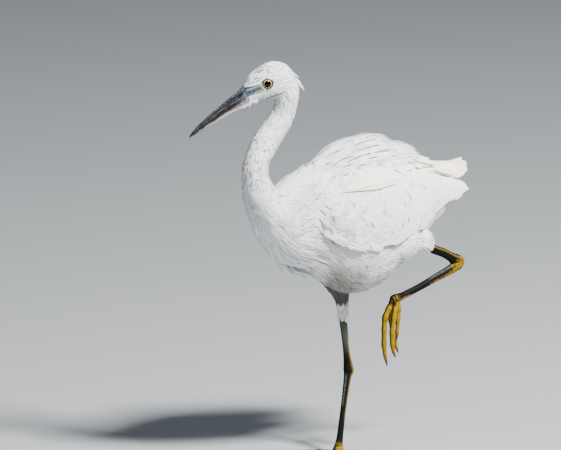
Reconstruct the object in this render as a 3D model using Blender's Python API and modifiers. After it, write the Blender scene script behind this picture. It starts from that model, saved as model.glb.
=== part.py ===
"""Little egret, life size, wading on one leg with the other foot lifted clear.

The frame: +Z is up, the bird faces -X with its left side towards -Y, and the origin is
on the floor, under the middle of the sole of its right foot. All sizes are in metres.
The body is modelled whole, as sections from rump to bill, and parted by thin cuts.
Feathers are leaves and locks fused to the part that they grow from.
"""

import math

import bmesh
import bpy
import numpy as np
from mathutils import Matrix

GAP = 0.0003
ROOM = 1.4 * GAP
FLAT_ANGLE = math.radians(0.1)
SIDES = 24
FLOOR = 0.0

# The bird's own mid-plane, a little to the left of the foot that carries it.
MID_Y = -0.012

# The trunk from the rump to the base of the bill, as if it looked straight ahead.
# Each station: (x, z) on the upper line, (x, z) on the lower line, half width, egg.
# A positive egg makes the section wider above its middle than below it.
TRUNK = (
    ((0.1040, 0.3150), (0.1040, 0.2310), 0.0310, 0.10),
    ((0.0780, 0.3260), (0.0780, 0.2090), 0.0410, 0.08),
    ((0.0460, 0.3350), (0.0460, 0.1870), 0.0495, 0.06),
    ((0.0100, 0.3380), (0.0100, 0.1795), 0.0525, 0.05),
    ((-0.0260, 0.3320), (-0.0260, 0.1860), 0.0515, 0.03),
    ((-0.0540, 0.3215), (-0.0540, 0.2015), 0.0465, 0.00),
    ((-0.0730, 0.3115), (-0.0800, 0.2195), 0.0385, -0.05),
    ((-0.0830, 0.3050), (-0.1010, 0.2405), 0.0310, -0.08),
    ((-0.0885, 0.3025), (-0.1165, 0.2660), 0.0245, -0.08),
    ((-0.0930, 0.3050), (-0.1265, 0.2910), 0.0190, -0.05),
    ((-0.0975, 0.3125), (-0.1295, 0.3085), 0.0158, 0.00),
    ((-0.1024, 0.3282), (-0.1298, 0.3300), 0.0138, 0.00),
    ((-0.0917, 0.3436), (-0.1159, 0.3597), 0.0134, 0.00),
    ((-0.0698, 0.3705), (-0.0949, 0.3831), 0.0129, 0.00),
    ((-0.0604, 0.3925), (-0.0885, 0.3954), 0.0131, 0.00),
    ((-0.0585, 0.4064), (-0.0890, 0.4000), 0.0134, 0.00),
    ((-0.0606, 0.4214), (-0.0912, 0.4008), 0.0138, 0.02),
    ((-0.0655, 0.4304), (-0.0938, 0.4003), 0.0142, 0.04),
    ((-0.0714, 0.4370), (-0.0965, 0.3998), 0.0145, 0.05),
    ((-0.0793, 0.4411), (-0.0990, 0.3993), 0.0143, 0.05),
    ((-0.0883, 0.4426), (-0.1018, 0.3988), 0.0138, 0.05),
    ((-0.0970, 0.4412), (-0.1050, 0.3983), 0.0128, 0.05),
    ((-0.1067, 0.4362), (-0.1085, 0.3976), 0.0112, 0.04),
    ((-0.1162, 0.4290), (-0.1130, 0.3965), 0.0092, 0.02),
    ((-0.1228, 0.4172), (-0.1182, 0.3945), 0.0066, 0.00),
)
# Where the trunk is parted: node, first and last station, rings.
TORSO_END, TORSO_RINGS = 9.6, 20
TRUNK_NODES = (
    ("torso", 0.0, TORSO_END, TORSO_RINGS),
    ("neck_lower", TORSO_END, 11.3, 5),
    ("neck_middle", 11.3, 12.7, 5),
    ("neck_upper", 12.7, 14.2, 5),
    ("head", 14.2, 24.0, 14),
)

# The head looks a little to the bird's right: it turns about the top of the neck.
HEAD_TURN = math.radians(-22)
TURN_FROM, TURN_TO = 11.0, 15.0
HEAD_PIVOT_X = -0.0758

# The bill in the same side view: (x, z) on the culmen, (x, z) under the chin, half width.
BILL = (
    (-0.1228, 0.4165, -0.1188, 0.3958, 0.0060),
    (-0.1293, 0.4096, -0.1275, 0.3916, 0.0053),
    (-0.1360, 0.4046, -0.1362, 0.3878, 0.0046),
    (-0.1462, 0.3966, -0.1478, 0.3817, 0.0038),
    (-0.1556, 0.3890, -0.1560, 0.3770, 0.0032),
    (-0.1647, 0.3815, -0.1645, 0.3719, 0.0026),
    (-0.1727, 0.3741, -0.1725, 0.3670, 0.0019),
    (-0.1791, 0.3672, -0.1787, 0.3630, 0.0012),
    (-0.1827, 0.3622, -0.1823, 0.3610, 0.0005),
)
BILL_TIP = (-0.1829, 0.3615)
# How far up from the chin to the culmen the mouth line runs, at the same stations.
TOMIUM = (0.36, 0.35, 0.34, 0.34, 0.35, 0.36, 0.38, 0.42, 0.45)
NOSTRIL_AT, NOSTRIL_SIZE = 0.75, (0.0036, 0.0012, 0.0008)
# The mouth line runs on past the bill to the gape: (x, z), and how far out its skin is.
MOUTH = ((-0.1222, 0.4030, 0.0072), (-0.1010, 0.4050, 0.0124))
MOUTH_SLOT, MOUTH_DEPTH = 0.0007, 0.0012

EYE_AT = (-0.0985, 0.4192)
EYE_RADIUS, EYE_OUT, EYE_OPEN = 0.0066, 0.0072, 0.0050
LID, LID_OUT = 0.0009, 0.0054

# Short plumes on the nape: how far to one side, then (x, z, radius) from root to tip.
NAPE_PLUMES = (
    (0.0, ((-0.0700, 0.4260, 0.0022), (-0.0615, 0.4180, 0.0018), (-0.0545, 0.4068, 0.0004))),
    (0.0025, ((-0.0720, 0.4330, 0.0022), (-0.0650, 0.4280, 0.0018), (-0.0608, 0.4220, 0.0004))),
    (-0.0030, ((-0.0690, 0.4200, 0.0020), (-0.0615, 0.4110, 0.0018), (-0.0575, 0.4010, 0.0004))),
)

# Tapered locks under the breast: station and turn round the section at root and tip.
BREAST_LOCKS = tuple(
    (7.3 - 0.5 * abs(i) + 0.2 * (i % 2), 5.6 - 0.45 * abs(i), math.pi + 0.17 * i)
    for i in range(-3, 4)
)

# The rump and tail coverts that carry on from the torso, in the trunk's terms.
RUMP = (
    ((0.1043, 0.3150), (0.1043, 0.2310), 0.0310, 0.10),
    ((0.1150, 0.3140), (0.1180, 0.2440), 0.0260, 0.05),
    ((0.1260, 0.3130), (0.1310, 0.2610), 0.0200, 0.00),
    ((0.1360, 0.3120), (0.1400, 0.2820), 0.0140, 0.00),
    ((0.1440, 0.3100), (0.1450, 0.3010), 0.0080, 0.00),
)
RUMP_RINGS = 8
TAIL_FEATHERS = 10
TAIL_ROOT, TAIL_TIP = (0.108, 0.3085), (0.155, 0.3148)
TAIL_FAN, TAIL_ROOF = math.radians(14), 0.011
TAIL_FEATHER_WIDTH = 0.015

# The side of the body that the wings lie on, by x: half width, top, bottom and egg.
FLANK_X = (-0.070, -0.054, -0.026, 0.010, 0.046, 0.078, 0.104, 0.130, 0.160)
FLANK_WIDTH = (0.0400, 0.0465, 0.0515, 0.0525, 0.0495, 0.0410, 0.0300, 0.0235, 0.0190)
FLANK_TOP = (0.3130, 0.3215, 0.3320, 0.3380, 0.3350, 0.3260, 0.3150, 0.3090, 0.3060)
FLANK_LOW = (0.2120, 0.2015, 0.1860, 0.1795, 0.1870, 0.2090, 0.2330, 0.2500, 0.2620)
FLANK_EGG = (-0.02, 0.00, 0.03, 0.05, 0.06, 0.08, 0.10, 0.05, 0.00)

# The wing under its feathers, by x: distance of its upper edge from the mid-plane, turn
# round the flank to its lower edge in degrees, and how far it stands off the body at the
# back, at the side and at the lower edge, and how deep it goes in.
WING = (
    (-0.0660, 0.0360, 88, 0.0018, 0.0020, 0.0016, 0.0060),
    (-0.0560, 0.0220, 96, 0.0030, 0.0036, 0.0020, 0.0075),
    (-0.0450, 0.0080, 99, 0.0040, 0.0046, 0.0024, 0.0085),
    (-0.0340, 0.0000, 102, 0.0060, 0.0052, 0.0026, 0.0110),
    (-0.0200, 0.0000, 104, 0.0108, 0.0058, 0.0026, 0.0150),
    (-0.0060, 0.0000, 105, 0.0130, 0.0060, 0.0026, 0.0160),
    (0.0140, 0.0000, 105, 0.0134, 0.0060, 0.0026, 0.0160),
    (0.0340, 0.0000, 105, 0.0154, 0.0058, 0.0026, 0.0170),
    (0.0500, 0.0000, 105, 0.0150, 0.0054, 0.0026, 0.0160),
    (0.0640, 0.0000, 104, 0.0110, 0.0050, 0.0026, 0.0130),
    (0.0780, 0.0000, 101, 0.0086, 0.0046, 0.0026, 0.0110),
    (0.0920, 0.0010, 98, 0.0072, 0.0042, 0.0024, 0.0080),
    (0.1040, 0.0055, 94, 0.0054, 0.0036, 0.0022, 0.0050),
    (0.1140, 0.0118, 90, 0.0040, 0.0030, 0.0020, 0.0034),
    (0.1230, 0.0178, 86, 0.0030, 0.0024, 0.0016, 0.0026),
    (0.1290, 0.0205, 80, 0.0024, 0.0020, 0.0014, 0.0020),
)
WING_RINGS, WING_COLUMNS = 19, 12
HUMP_UNTIL = math.radians(48)

# The wing's tiers of feathers. Each has a line of tips, from the wing's tip forwards, as
# (x, turn round the flank in degrees), a heading below straight back at both ends of the
# line, lengths and widths at both ends, and the rise of root and tip off the wing. The
# mantle's drift sets the right wing's tips back and the left wing's forward.
TIERS = {
    "flight": dict(
        count=12,
        tips=((0.1475, 85), (0.1250, 97), (0.0950, 107), (0.0640, 111), (0.0250, 111), (-0.0080, 108)),
        heading=(17, 74),
        length=(0.042, 0.028),
        width=(0.0180, 0.0175),
        rise=(-0.0010, 0.0008),
    ),
    "greater coverts": dict(
        count=10,
        tips=((0.1180, 69), (0.0940, 84), (0.0660, 92), (0.0330, 95), (-0.0050, 94), (-0.0300, 91)),
        heading=(20, 70),
        length=(0.036, 0.028),
        width=(0.0185, 0.0185),
        rise=(-0.0011, 0.0022),
    ),
    "median coverts": dict(
        count=8,
        tips=((0.0900, 56), (0.0650, 72), (0.0320, 79), (-0.0060, 81), (-0.0420, 78)),
        heading=(24, 66),
        length=(0.036, 0.028),
        width=(0.0200, 0.0185),
        rise=(-0.0011, 0.0022),
    ),
    "scapulars": dict(
        count=6,
        tips=((0.1120, 26), (0.0850, 31), (0.0600, 43), (0.0330, 57)),
        heading=(8, 24),
        length=(0.046, 0.038),
        width=(0.0180, 0.0200),
        rise=(-0.0011, 0.0028),
    ),
    "mantle": dict(
        count=5,
        tips=((0.1020, 12), (0.0900, 24), (0.0640, 29), (0.0600, 17), (0.0590, 7)),
        heading=(2, -4),
        length=(0.040, 0.042),
        width=(0.0150, 0.0170),
        rise=(-0.0011, 0.0052),
        drift=0.009,
    ),
}
LEAF_THICK, LEAF_TILT = 0.0006, 0.075
LEAF_SHAPE = ((0.0, 0.66), (0.48, 1.0), (0.84, 0.92), (1.0, 0.42))

# Locks of down on the lifted thigh: x, y, z, radius from root to tip.
THIGH_LOCKS = (
    ((0.0800, -0.0360, 0.2440, 0.0080), (0.0930, -0.0350, 0.2440, 0.0075), (0.1040, -0.0340, 0.2430, 0.0006)),
    ((0.0780, -0.0380, 0.2360, 0.0080), (0.0900, -0.0370, 0.2370, 0.0072), (0.1000, -0.0345, 0.2350, 0.0006)),
    ((0.0560, -0.0420, 0.2330, 0.0080), (0.0610, -0.0440, 0.2270, 0.0074), (0.0640, -0.0450, 0.2205, 0.0006)),
)

# Each leg from inside the body to the ankle's knob, then from the ankle to the foot.
# Rows are x, y, z, half depth, half width.
LEGS = {
    "right": dict(
        up=(-1.0, 0.0, 0.0),
        toe_up=(0.0, 0.0, 1.0),
        upper=(
            (0.0060, 0.0100, 0.2100, 0.0230, 0.0190),
            (0.0080, 0.0102, 0.1900, 0.0180, 0.0160),
            (0.0112, 0.0104, 0.1740, 0.0122, 0.0106),
            (0.0132, 0.0102, 0.1600, 0.0084, 0.0070),
            (0.0138, 0.0100, 0.1470, 0.0052, 0.0044),
            (0.0152, 0.0094, 0.1310, 0.0041, 0.0035),
            (0.0170, 0.0086, 0.1120, 0.0038, 0.0034),
            (0.0186, 0.0080, 0.0985, 0.0050, 0.0045),
            (0.0194, 0.0077, 0.0915, 0.0060, 0.0053),
            (0.0199, 0.0074, 0.0862, 0.0046, 0.0040),
            (0.0201, 0.0072, 0.0848, 0.0012, 0.0012),
        ),
        lower=(
            (0.0187, 0.0074, 0.0880, 0.0052, 0.0046),
            (0.0168, 0.0068, 0.0800, 0.0042, 0.0037),
            (0.0125, 0.0052, 0.0600, 0.0035, 0.0031),
            (0.0080, 0.0034, 0.0390, 0.0034, 0.0030),
            (0.0038, 0.0016, 0.0190, 0.0037, 0.0034),
            (0.0018, 0.0008, 0.0105, 0.0048, 0.0046),
            (0.0008, 0.0003, 0.0040, 0.0068, 0.0066),
            (0.0010, 0.0004, -0.0012, 0.0068, 0.0066),
        ),
    ),
    "left": dict(
        up=(0.0, 0.0, 1.0),
        toe_up=(-1.0, 0.0, 0.0),
        upper=(
            (0.0280, -0.0350, 0.2440, 0.0230, 0.0170),
            (0.0520, -0.0385, 0.2390, 0.0205, 0.0180),
            (0.0740, -0.0380, 0.2350, 0.0160, 0.0140),
            (0.0890, -0.0352, 0.2292, 0.0105, 0.0090),
            (0.0955, -0.0340, 0.2242, 0.0046, 0.0045),
            (0.1040, -0.0340, 0.2198, 0.0039, 0.0036),
            (0.1150, -0.0340, 0.2155, 0.0040, 0.0037),
            (0.1250, -0.0340, 0.2108, 0.0054, 0.0047),
            (0.1335, -0.0340, 0.2052, 0.0076, 0.0056),
            (0.1386, -0.0340, 0.2018, 0.0058, 0.0046),
            (0.1402, -0.0340, 0.2006, 0.0014, 0.0014),
        ),
        lower=(
            (0.1300, -0.0340, 0.1994, 0.0058, 0.0050),
            (0.1217, -0.0340, 0.1958, 0.0052, 0.0043),
            (0.1030, -0.0340, 0.1890, 0.0044, 0.0036),
            (0.0839, -0.0340, 0.1818, 0.0040, 0.0034),
            (0.0640, -0.0340, 0.1752, 0.0040, 0.0037),
            (0.0570, -0.0340, 0.1732, 0.0046, 0.0046),
            (0.0508, -0.0340, 0.1712, 0.0056, 0.0060),
            (0.0470, -0.0340, 0.1690, 0.0030, 0.0034),
        ),
    ),
}
# The rows where thigh turns to tibia and tarsus to foot.
THIGH_END, TARSUS_END = 4, 5
LEG_SIDES, TOE_SIDES = 12, 8

# The standing foot's toes: heading from +X, joints as (distance, radius), claw length.
TOE_FLAT = 0.0005
FLAT_TOES = {
    "middle": (
        176,
        (
            (0.002, 0.0036),
            (0.012, 0.0033),
            (0.024, 0.0033),
            (0.037, 0.0029),
            (0.052, 0.0026),
            (0.066, 0.0019),
        ),
        0.0085,
    ),
    "outer": (
        136,
        (
            (0.002, 0.0034),
            (0.012, 0.0030),
            (0.021, 0.0030),
            (0.031, 0.0027),
            (0.042, 0.0024),
            (0.053, 0.0018),
        ),
        0.0075,
    ),
    "inner": (
        222,
        ((0.002, 0.0034), (0.012, 0.0031), (0.022, 0.0029), (0.035, 0.0026), (0.050, 0.0018)),
        0.0078,
    ),
    "hind": (
        -24,
        ((0.002, 0.0034), (0.011, 0.0029), (0.020, 0.0027), (0.033, 0.0019)),
        0.0095,
    ),
}
# The lifted foot's toes: x, y, z and radius at the joints, the claw's bend and its tip.
HANGING_TOES = {
    "middle": (
        (0.0490, -0.0340, 0.1700, 0.0036),
        (0.0435, -0.0340, 0.1620, 0.0034),
        (0.0389, -0.0340, 0.1530, 0.0034),
        (0.0376, -0.0340, 0.1394, 0.0030),
        (0.0374, -0.0338, 0.1230, 0.0028),
        (0.0393, -0.0336, 0.1085, 0.0019),
        (0.0408, -0.0336, 0.1030, 0.0012),
        (0.0418, -0.0336, 0.0984, 0.0004),
    ),
    "outer": (
        (0.0500, -0.0375, 0.1690, 0.0034),
        (0.0475, -0.0400, 0.1610, 0.0030),
        (0.0450, -0.0412, 0.1525, 0.0030),
        (0.0425, -0.0415, 0.1367, 0.0027),
        (0.0433, -0.0412, 0.1234, 0.0025),
        (0.0450, -0.0410, 0.1150, 0.0018),
        (0.0464, -0.0410, 0.1115, 0.0012),
        (0.0476, -0.0410, 0.1083, 0.0004),
    ),
    "inner": (
        (0.0500, -0.0310, 0.1690, 0.0034),
        (0.0500, -0.0285, 0.1610, 0.0031),
        (0.0510, -0.0265, 0.1500, 0.0030),
        (0.0540, -0.0260, 0.1367, 0.0027),
        (0.0572, -0.0262, 0.1230, 0.0024),
        (0.0588, -0.0265, 0.1160, 0.0018),
        (0.0602, -0.0265, 0.1128, 0.0012),
        (0.0612, -0.0265, 0.1098, 0.0004),
    ),
    "hind": (
        (0.0535, -0.0350, 0.1700, 0.0034),
        (0.0548, -0.0365, 0.1620, 0.0029),
        (0.0535, -0.0368, 0.1500, 0.0027),
        (0.0525, -0.0368, 0.1340, 0.0019),
        (0.0516, -0.0368, 0.1290, 0.0013),
        (0.0506, -0.0368, 0.1247, 0.0004),
    ),
}

# Each finish: colour, roughness.
FINISHES = {
    "plumage": ((0.86, 0.87, 0.87), 0.75),
    "bill_horn": ((0.16, 0.15, 0.17), 0.35),
    "bill_pale": ((0.62, 0.55, 0.50), 0.40),
    "eye": ((0.85, 0.72, 0.25), 0.08),
    "leg_dark": ((0.05, 0.05, 0.06), 0.40),
    "toe_yellow": ((0.72, 0.55, 0.04), 0.45),
    "claw": ((0.30, 0.16, 0.07), 0.35),
}


def clear_scene():
    """Removes the startup objects and makes the collections of parts and of cutters."""
    for obj in list(bpy.data.objects):
        bpy.data.objects.remove(obj)
    made = []
    for name in ("little_egret", "cutters"):
        collection = bpy.data.collections.new(name)
        bpy.context.scene.collection.children.link(collection)
        made.append(collection)
    return made


def material(name):
    """The Principled material of one finish."""
    found = bpy.data.materials.get(name)
    if found:
        return found
    colour, roughness = FINISHES[name]
    found = bpy.data.materials.new(name)
    found.use_nodes = True
    shader = found.node_tree.nodes["Principled BSDF"]
    shader.inputs["Base Color"].default_value = (*colour, 1.0)
    shader.inputs["Roughness"].default_value = roughness
    shader.inputs["Metallic"].default_value = 0.0
    return found


def add_object(name, mesh, collection, finish="plumage"):
    """A smooth-shaded object of one finish."""
    mesh.materials.append(material(finish))
    mesh.shade_smooth()
    obj = bpy.data.objects.new(name, mesh)
    collection.objects.link(obj)
    return obj


def from_bmesh(name, bm, collection, finish="plumage"):
    mesh = bpy.data.meshes.new(name)
    bm.to_mesh(mesh)
    bm.free()
    return add_object(name, mesh, collection, finish)


def unit(v):
    return v / np.linalg.norm(v, axis=-1, keepdims=True)


def ease(t):
    """0 before 0, 1 after 1 and a smooth step between them."""
    t = np.clip(t, 0, 1)
    return t * t * (3 - 2 * t)


def curve_at(x, xs, ys):
    """Values read at x from a smooth curve through the rows ys at xs."""
    xs, ys = np.asarray(xs, float), np.asarray(ys, float)
    slope = np.gradient(ys, xs, axis=0)
    x = min(max(float(x), xs[0]), xs[-1])
    i = min(int(np.searchsorted(xs, x, side="right")) - 1, len(xs) - 2)
    h = xs[i + 1] - xs[i]
    u = (x - xs[i]) / h
    return (
        (2 * u**3 - 3 * u**2 + 1) * ys[i]
        + (u**3 - 2 * u**2 + u) * h * slope[i]
        + (3 * u**2 - 2 * u**3) * ys[i + 1]
        + (u**3 - u**2) * h * slope[i + 1]
    )


def row_at(t, rows):
    """The same, for rows at 0, 1, 2 and so on."""
    return curve_at(t, range(len(rows)), rows)


def loft(name, rings, collection, finish="plumage"):
    """A closed skin over rings of points that run along the piece, its ends capped."""
    bm = bmesh.new()
    rows = [[bm.verts.new(p) for p in ring] for ring in rings]
    for a, b in zip(rows, rows[1:]):
        for k, (p, q) in enumerate(zip(a, a[1:] + a[:1])):
            r, s = b[(k + 1) % len(b)], b[k]
            bm.faces.new((p, q, r))
            bm.faces.new((p, r, s))
    for row in (rows[0], rows[-1]):
        hub = bm.verts.new(np.mean([v.co for v in row], axis=0))
        for p, q in zip(row, row[1:] + row[:1]):
            bm.faces.new((p, q, hub))
    bmesh.ops.recalc_face_normals(bm, faces=bm.faces)
    return from_bmesh(name, bm, collection, finish)


def facing(ring):
    """The direction that a flat ring of points faces, by the right-hand rule."""
    arms = ring - ring.mean(axis=0)
    return unit(np.cross(arms, np.roll(arms, -1, axis=0)).sum(axis=0))


def chain(nodes, ring_at, collection, finishes):
    """Lofts that meet end to end, with the touching gap between flat faces.

    What would lie under the floor is pressed flat onto it. nodes holds (name, from, to, rings) and ring_at(t) gives the flat ring at t.
    """
    made = []
    for index, (name, start, end, count) in enumerate(nodes):
        rings = np.array([ring_at(t) for t in np.linspace(start, end, count)])
        if index > 0:
            inward = facing(rings[0])
            inward *= math.copysign(GAP / 2, inward @ (rings[1].mean(0) - rings[0].mean(0)))
            rings[0] += inward
        if index < len(nodes) - 1:
            inward = facing(rings[-1])
            inward *= math.copysign(GAP / 2, inward @ (rings[-2].mean(0) - rings[-1].mean(0)))
            rings[-1] += inward
        rings[..., 2] = np.maximum(rings[..., 2], FLOOR)
        made.append(loft(name, rings, collection, finishes[index]))
    return made


def combine(obj, others, operation, solver="EXACT"):
    """One applied Boolean of obj with all the others, which are then removed."""
    helpers = bpy.data.collections.new("helpers")
    for other in others:
        helpers.objects.link(other)
    modifier = obj.modifiers.new(operation.lower(), "BOOLEAN")
    modifier.operation = operation
    modifier.operand_type = "COLLECTION"
    modifier.collection = helpers
    modifier.solver = solver
    graph = bpy.context.evaluated_depsgraph_get()
    mesh = bpy.data.meshes.new_from_object(obj.evaluated_get(graph))
    obj.modifiers.clear()
    old, obj.data = obj.data, mesh
    bpy.data.meshes.remove(old)
    for other in others:
        bpy.data.objects.remove(other)
    bpy.data.collections.remove(helpers)
    keep_largest(obj)


def keep_largest(obj):
    """Drops the crumbs that a Boolean leaves: only the largest closed surface stays."""
    bm = bmesh.new()
    bm.from_mesh(obj.data)
    bmesh.ops.dissolve_limit(bm, angle_limit=FLAT_ANGLE, verts=bm.verts, edges=bm.edges)
    bmesh.ops.triangulate(bm, faces=bm.faces)
    unseen, shells = set(bm.faces), []
    while unseen:
        shell, stack = [], [unseen.pop()]
        while stack:
            face = stack.pop()
            shell.append(face)
            near = {other for edge in face.edges for other in edge.link_faces} & unseen
            unseen -= near
            stack.extend(near)
        volume = sum(f.verts[0].co.dot(f.verts[1].co.cross(f.verts[2].co)) for f in shell)
        shells.append((volume, shell))
    shells.sort(key=lambda pair: pair[0])
    for _, shell in shells[:-1]:
        bmesh.ops.delete(bm, geom=shell, context="FACES")
    loose = [v for v in bm.verts if not v.link_faces]
    bmesh.ops.delete(bm, geom=loose, context="VERTS")
    bm.to_mesh(obj.data)
    bm.free()
    obj.data.shade_smooth()


def section(upper, lower, half_width, egg, grow=0.0):
    """An egg-shaped ring between the upper and the lower point, both (x, z)."""
    upper, lower = np.asarray(upper), np.asarray(lower)
    centre, half = (upper + lower) / 2, (upper - lower) / 2
    half = half * (1 + grow / np.linalg.norm(half))
    angle = np.linspace(0, 2 * math.pi, SIDES, endpoint=False)
    height = np.cos(angle)
    width = (half_width + grow) * np.sin(angle) * (1 + egg * height)
    ring = np.empty((SIDES, 3))
    ring[:, 0] = centre[0] + half[0] * height
    ring[:, 1] = MID_Y + width
    ring[:, 2] = centre[1] + half[1] * height
    return ring


def body_ring(stations, t, grow=0.0):
    row = row_at(t, [[*upper, *lower, width, egg] for upper, lower, width, egg in stations])
    return section(row[:2], row[2:4], row[4], row[5], grow)


def turned(points, angle):
    """Points of the side view, turned about the top of the neck."""
    points = np.array(points, float)
    x, y = points[..., 0] - HEAD_PIVOT_X, points[..., 1] - MID_Y
    points[..., 0] = HEAD_PIVOT_X + x * math.cos(angle) - y * math.sin(angle)
    points[..., 1] = MID_Y + x * math.sin(angle) + y * math.cos(angle)
    return points


def trunk_ring(t, grow=0.0):
    angle = HEAD_TURN * ease((t - TURN_FROM) / (TURN_TO - TURN_FROM))
    return turned(body_ring(TRUNK, t, grow), angle)


def with_head(obj):
    """Turns an object made in the side view as far as the head is turned."""
    pivot = Matrix.Translation((HEAD_PIVOT_X, MID_Y, 0))
    obj.data.transform(pivot @ Matrix.Rotation(HEAD_TURN, 4, "Z") @ pivot.inverted())
    return obj


def body_room(collection):
    """The torso, grown by the gap that its neighbours keep from it."""
    rings = [trunk_ring(t, ROOM) for t in np.linspace(0, TORSO_END, TORSO_RINGS)]
    return loft("body_room", rings, collection)


def limb_ring(rows, t, sides, up, grow=0.0):
    """The ring at t of a tube whose rows hold x, y, z, half height and half width."""
    here = row_at(t, rows)
    along = unit(row_at(t + 0.01, rows)[:3] - row_at(t - 0.01, rows)[:3])
    side = unit(np.cross(up, along))
    angle = (np.arange(sides)[:, None] + 0.5) * 2 * math.pi / sides
    return (
        here[:3]
        + (here[3] + grow) * np.cos(angle) * np.cross(along, side)
        + (here[4] + grow) * np.sin(angle) * side
    )


def lock(name, points, radii, collection, sides=6, flat=0.7):
    """A tapered lock of feathers along the points, flatter than it is wide."""
    rows = [[*p, r * flat, r] for p, r in zip(points, radii)]
    rings = [
        limb_ring(rows, t, sides, (0.0, 0.0, 1.0)) for t in np.linspace(0, len(rows) - 1, 4)
    ]
    return loft(name, rings, collection)


def leaf(name, centres, across, widths, collection):
    """A feather's vane: an open strip made solid."""
    bm = bmesh.new()
    rows = []
    for c, a, w in zip(np.asarray(centres), unit(np.asarray(across)), widths):
        rows.append([bm.verts.new(c - a * w / 2), bm.verts.new(c + a * w / 2)])
    for (a, b), (d, c) in zip(rows, rows[1:]):
        bm.faces.new((a, b, c))
        bm.faces.new((a, c, d))
    obj = from_bmesh(name, bm, collection)
    solid = obj.modifiers.new("solid", "SOLIDIFY")
    solid.thickness = LEAF_THICK
    solid.offset = 0.0
    return obj


def make_trunk(collection, cutters):
    """Torso, three lengths of neck and the head, as one form parted by thin cuts."""
    nodes = chain(TRUNK_NODES, trunk_ring, collection, ["plumage"] * len(TRUNK_NODES))
    trunk = {node.name: node for node in nodes}
    locks = []
    for root, tip, turn in BREAST_LOCKS:
        points = []
        for s, lift in ((0.0, -0.0030), (0.4, -0.0002), (0.75, 0.0012), (1.0, 0.0030)):
            ring = trunk_ring(root + (tip - root) * s, lift)
            spot = turn / (2 * math.pi) * SIDES
            points.append(ring[int(spot)] * (1 - spot % 1) + ring[int(spot) + 1] * (spot % 1))
        locks.append(lock("lock", points, (0.0055, 0.0060, 0.0042, 0.0005), cutters))
    combine(trunk["torso"], locks, "UNION")
    return trunk


def make_bill(collection, cutters):
    """Both mandibles, meeting the head on a flat face and each other at the tomium."""
    upper, lower = [], []
    for t in np.linspace(0, len(BILL) - 1, 11):
        row = row_at(t, BILL)
        top, chin, half_width = row[:2], row[2:4], row[4]
        across = unit(top - chin)
        bite = chin + (top - chin) * row_at(t, TOMIUM)
        ahead = np.array([-across[1], across[0]]) * (GAP if t == 0 else 0)
        for rings, edge, sign in ((upper, top, 1), (lower, chin, -1)):
            angle = np.linspace(0, math.pi, 9)
            base = bite + sign * GAP / 2 * across + ahead
            rise = np.linalg.norm(edge - bite) * np.sin(angle) ** 0.85
            half = half_width * np.cos(angle) * (1 if sign > 0 else 0.92)
            rise = np.append(rise, [0, 0, 0])
            half = np.append(half, np.array([-0.5, 0, 0.5]) * half[0])
            ring = np.empty((len(rise), 3))
            ring[:, [0, 2]] = base + sign * rise[:, None] * across
            ring[:, 1] = MID_Y + half
            rings.append(ring)
    made = loft("bill_upper", upper, collection, "bill_horn")
    slots = [nostril(side, cutters) for side in (-1, 1)]
    combine(made, slots, "DIFFERENCE")
    return [made, loft("bill_lower", lower, collection, "bill_pale")]


def nostril(side, collection):
    """A slit beside the culmen, near the bill's base."""
    row = row_at(NOSTRIL_AT, BILL)
    bite = row_at(NOSTRIL_AT, TOMIUM)
    at = row[2:4] + (row[:2] - row[2:4]) * (bite + 0.62 * (1 - bite))
    slope = math.atan2(BILL[0][1] - BILL[2][1], BILL[0][0] - BILL[2][0])
    bm = bmesh.new()
    bmesh.ops.create_uvsphere(bm, u_segments=6, v_segments=4, radius=1.0)
    obj = from_bmesh("slit", bm, collection)
    place = Matrix.Translation((at[0], MID_Y + side * row[4] * 0.86, at[1]))
    obj.data.transform(
        place @ Matrix.Rotation(-slope, 4, "Y") @ Matrix.Diagonal((*NOSTRIL_SIZE, 1))
    )
    return obj


def make_head(head, collection, cutters):
    """Eyes in sockets with lids round them, the mouth line and the nape's plumes."""
    added, cut = [], []
    for name, side in (("eye_left", -1), ("eye_right", 1)):
        centre = (EYE_AT[0], MID_Y + side * EYE_OUT, EYE_AT[1])
        added.append(with_head(eyelids(centre, side, cutters)))
        with_head(eyeball(name, centre, EYE_RADIUS, collection))
        cut.append(with_head(eyeball("socket", centre, EYE_RADIUS + GAP, cutters)))
        cut.append(with_head(eye_opening(centre, side, cutters)))
        cut.append(with_head(mouth_slot(side, cutters)))
    for offset, rows in NAPE_PLUMES:
        points = [(x, MID_Y + offset, z) for x, z, _ in rows]
        radii = [radius for _, _, radius in rows]
        added.append(with_head(lock("plume", points, radii, cutters)))
    combine(head, added, "UNION")
    combine(head, cut, "DIFFERENCE")


def eyeball(name, centre, radius, collection):
    bm = bmesh.new()
    bmesh.ops.create_uvsphere(
        bm,
        u_segments=14,
        v_segments=8,
        radius=radius,
        matrix=Matrix.Translation(centre) @ Matrix.Rotation(math.pi / 2, 4, "X"),
    )
    return from_bmesh(name, bm, collection, "eye")


def eye_opening(centre, side, collection):
    """The hole between the lids, wider outwards."""
    bm = bmesh.new()
    place = Matrix.Translation((centre[0], centre[1] + side * 0.0075, centre[2]))
    bmesh.ops.create_cone(
        bm,
        cap_ends=True,
        segments=16,
        radius1=EYE_OPEN * 1.1,
        radius2=EYE_OPEN * 0.93,
        depth=0.009,
        matrix=place @ Matrix.Rotation(side * math.pi / 2, 4, "X") @ Matrix.Scale(0.92, 4, (0, 1, 0)),
    )
    return from_bmesh("opening", bm, collection)


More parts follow.
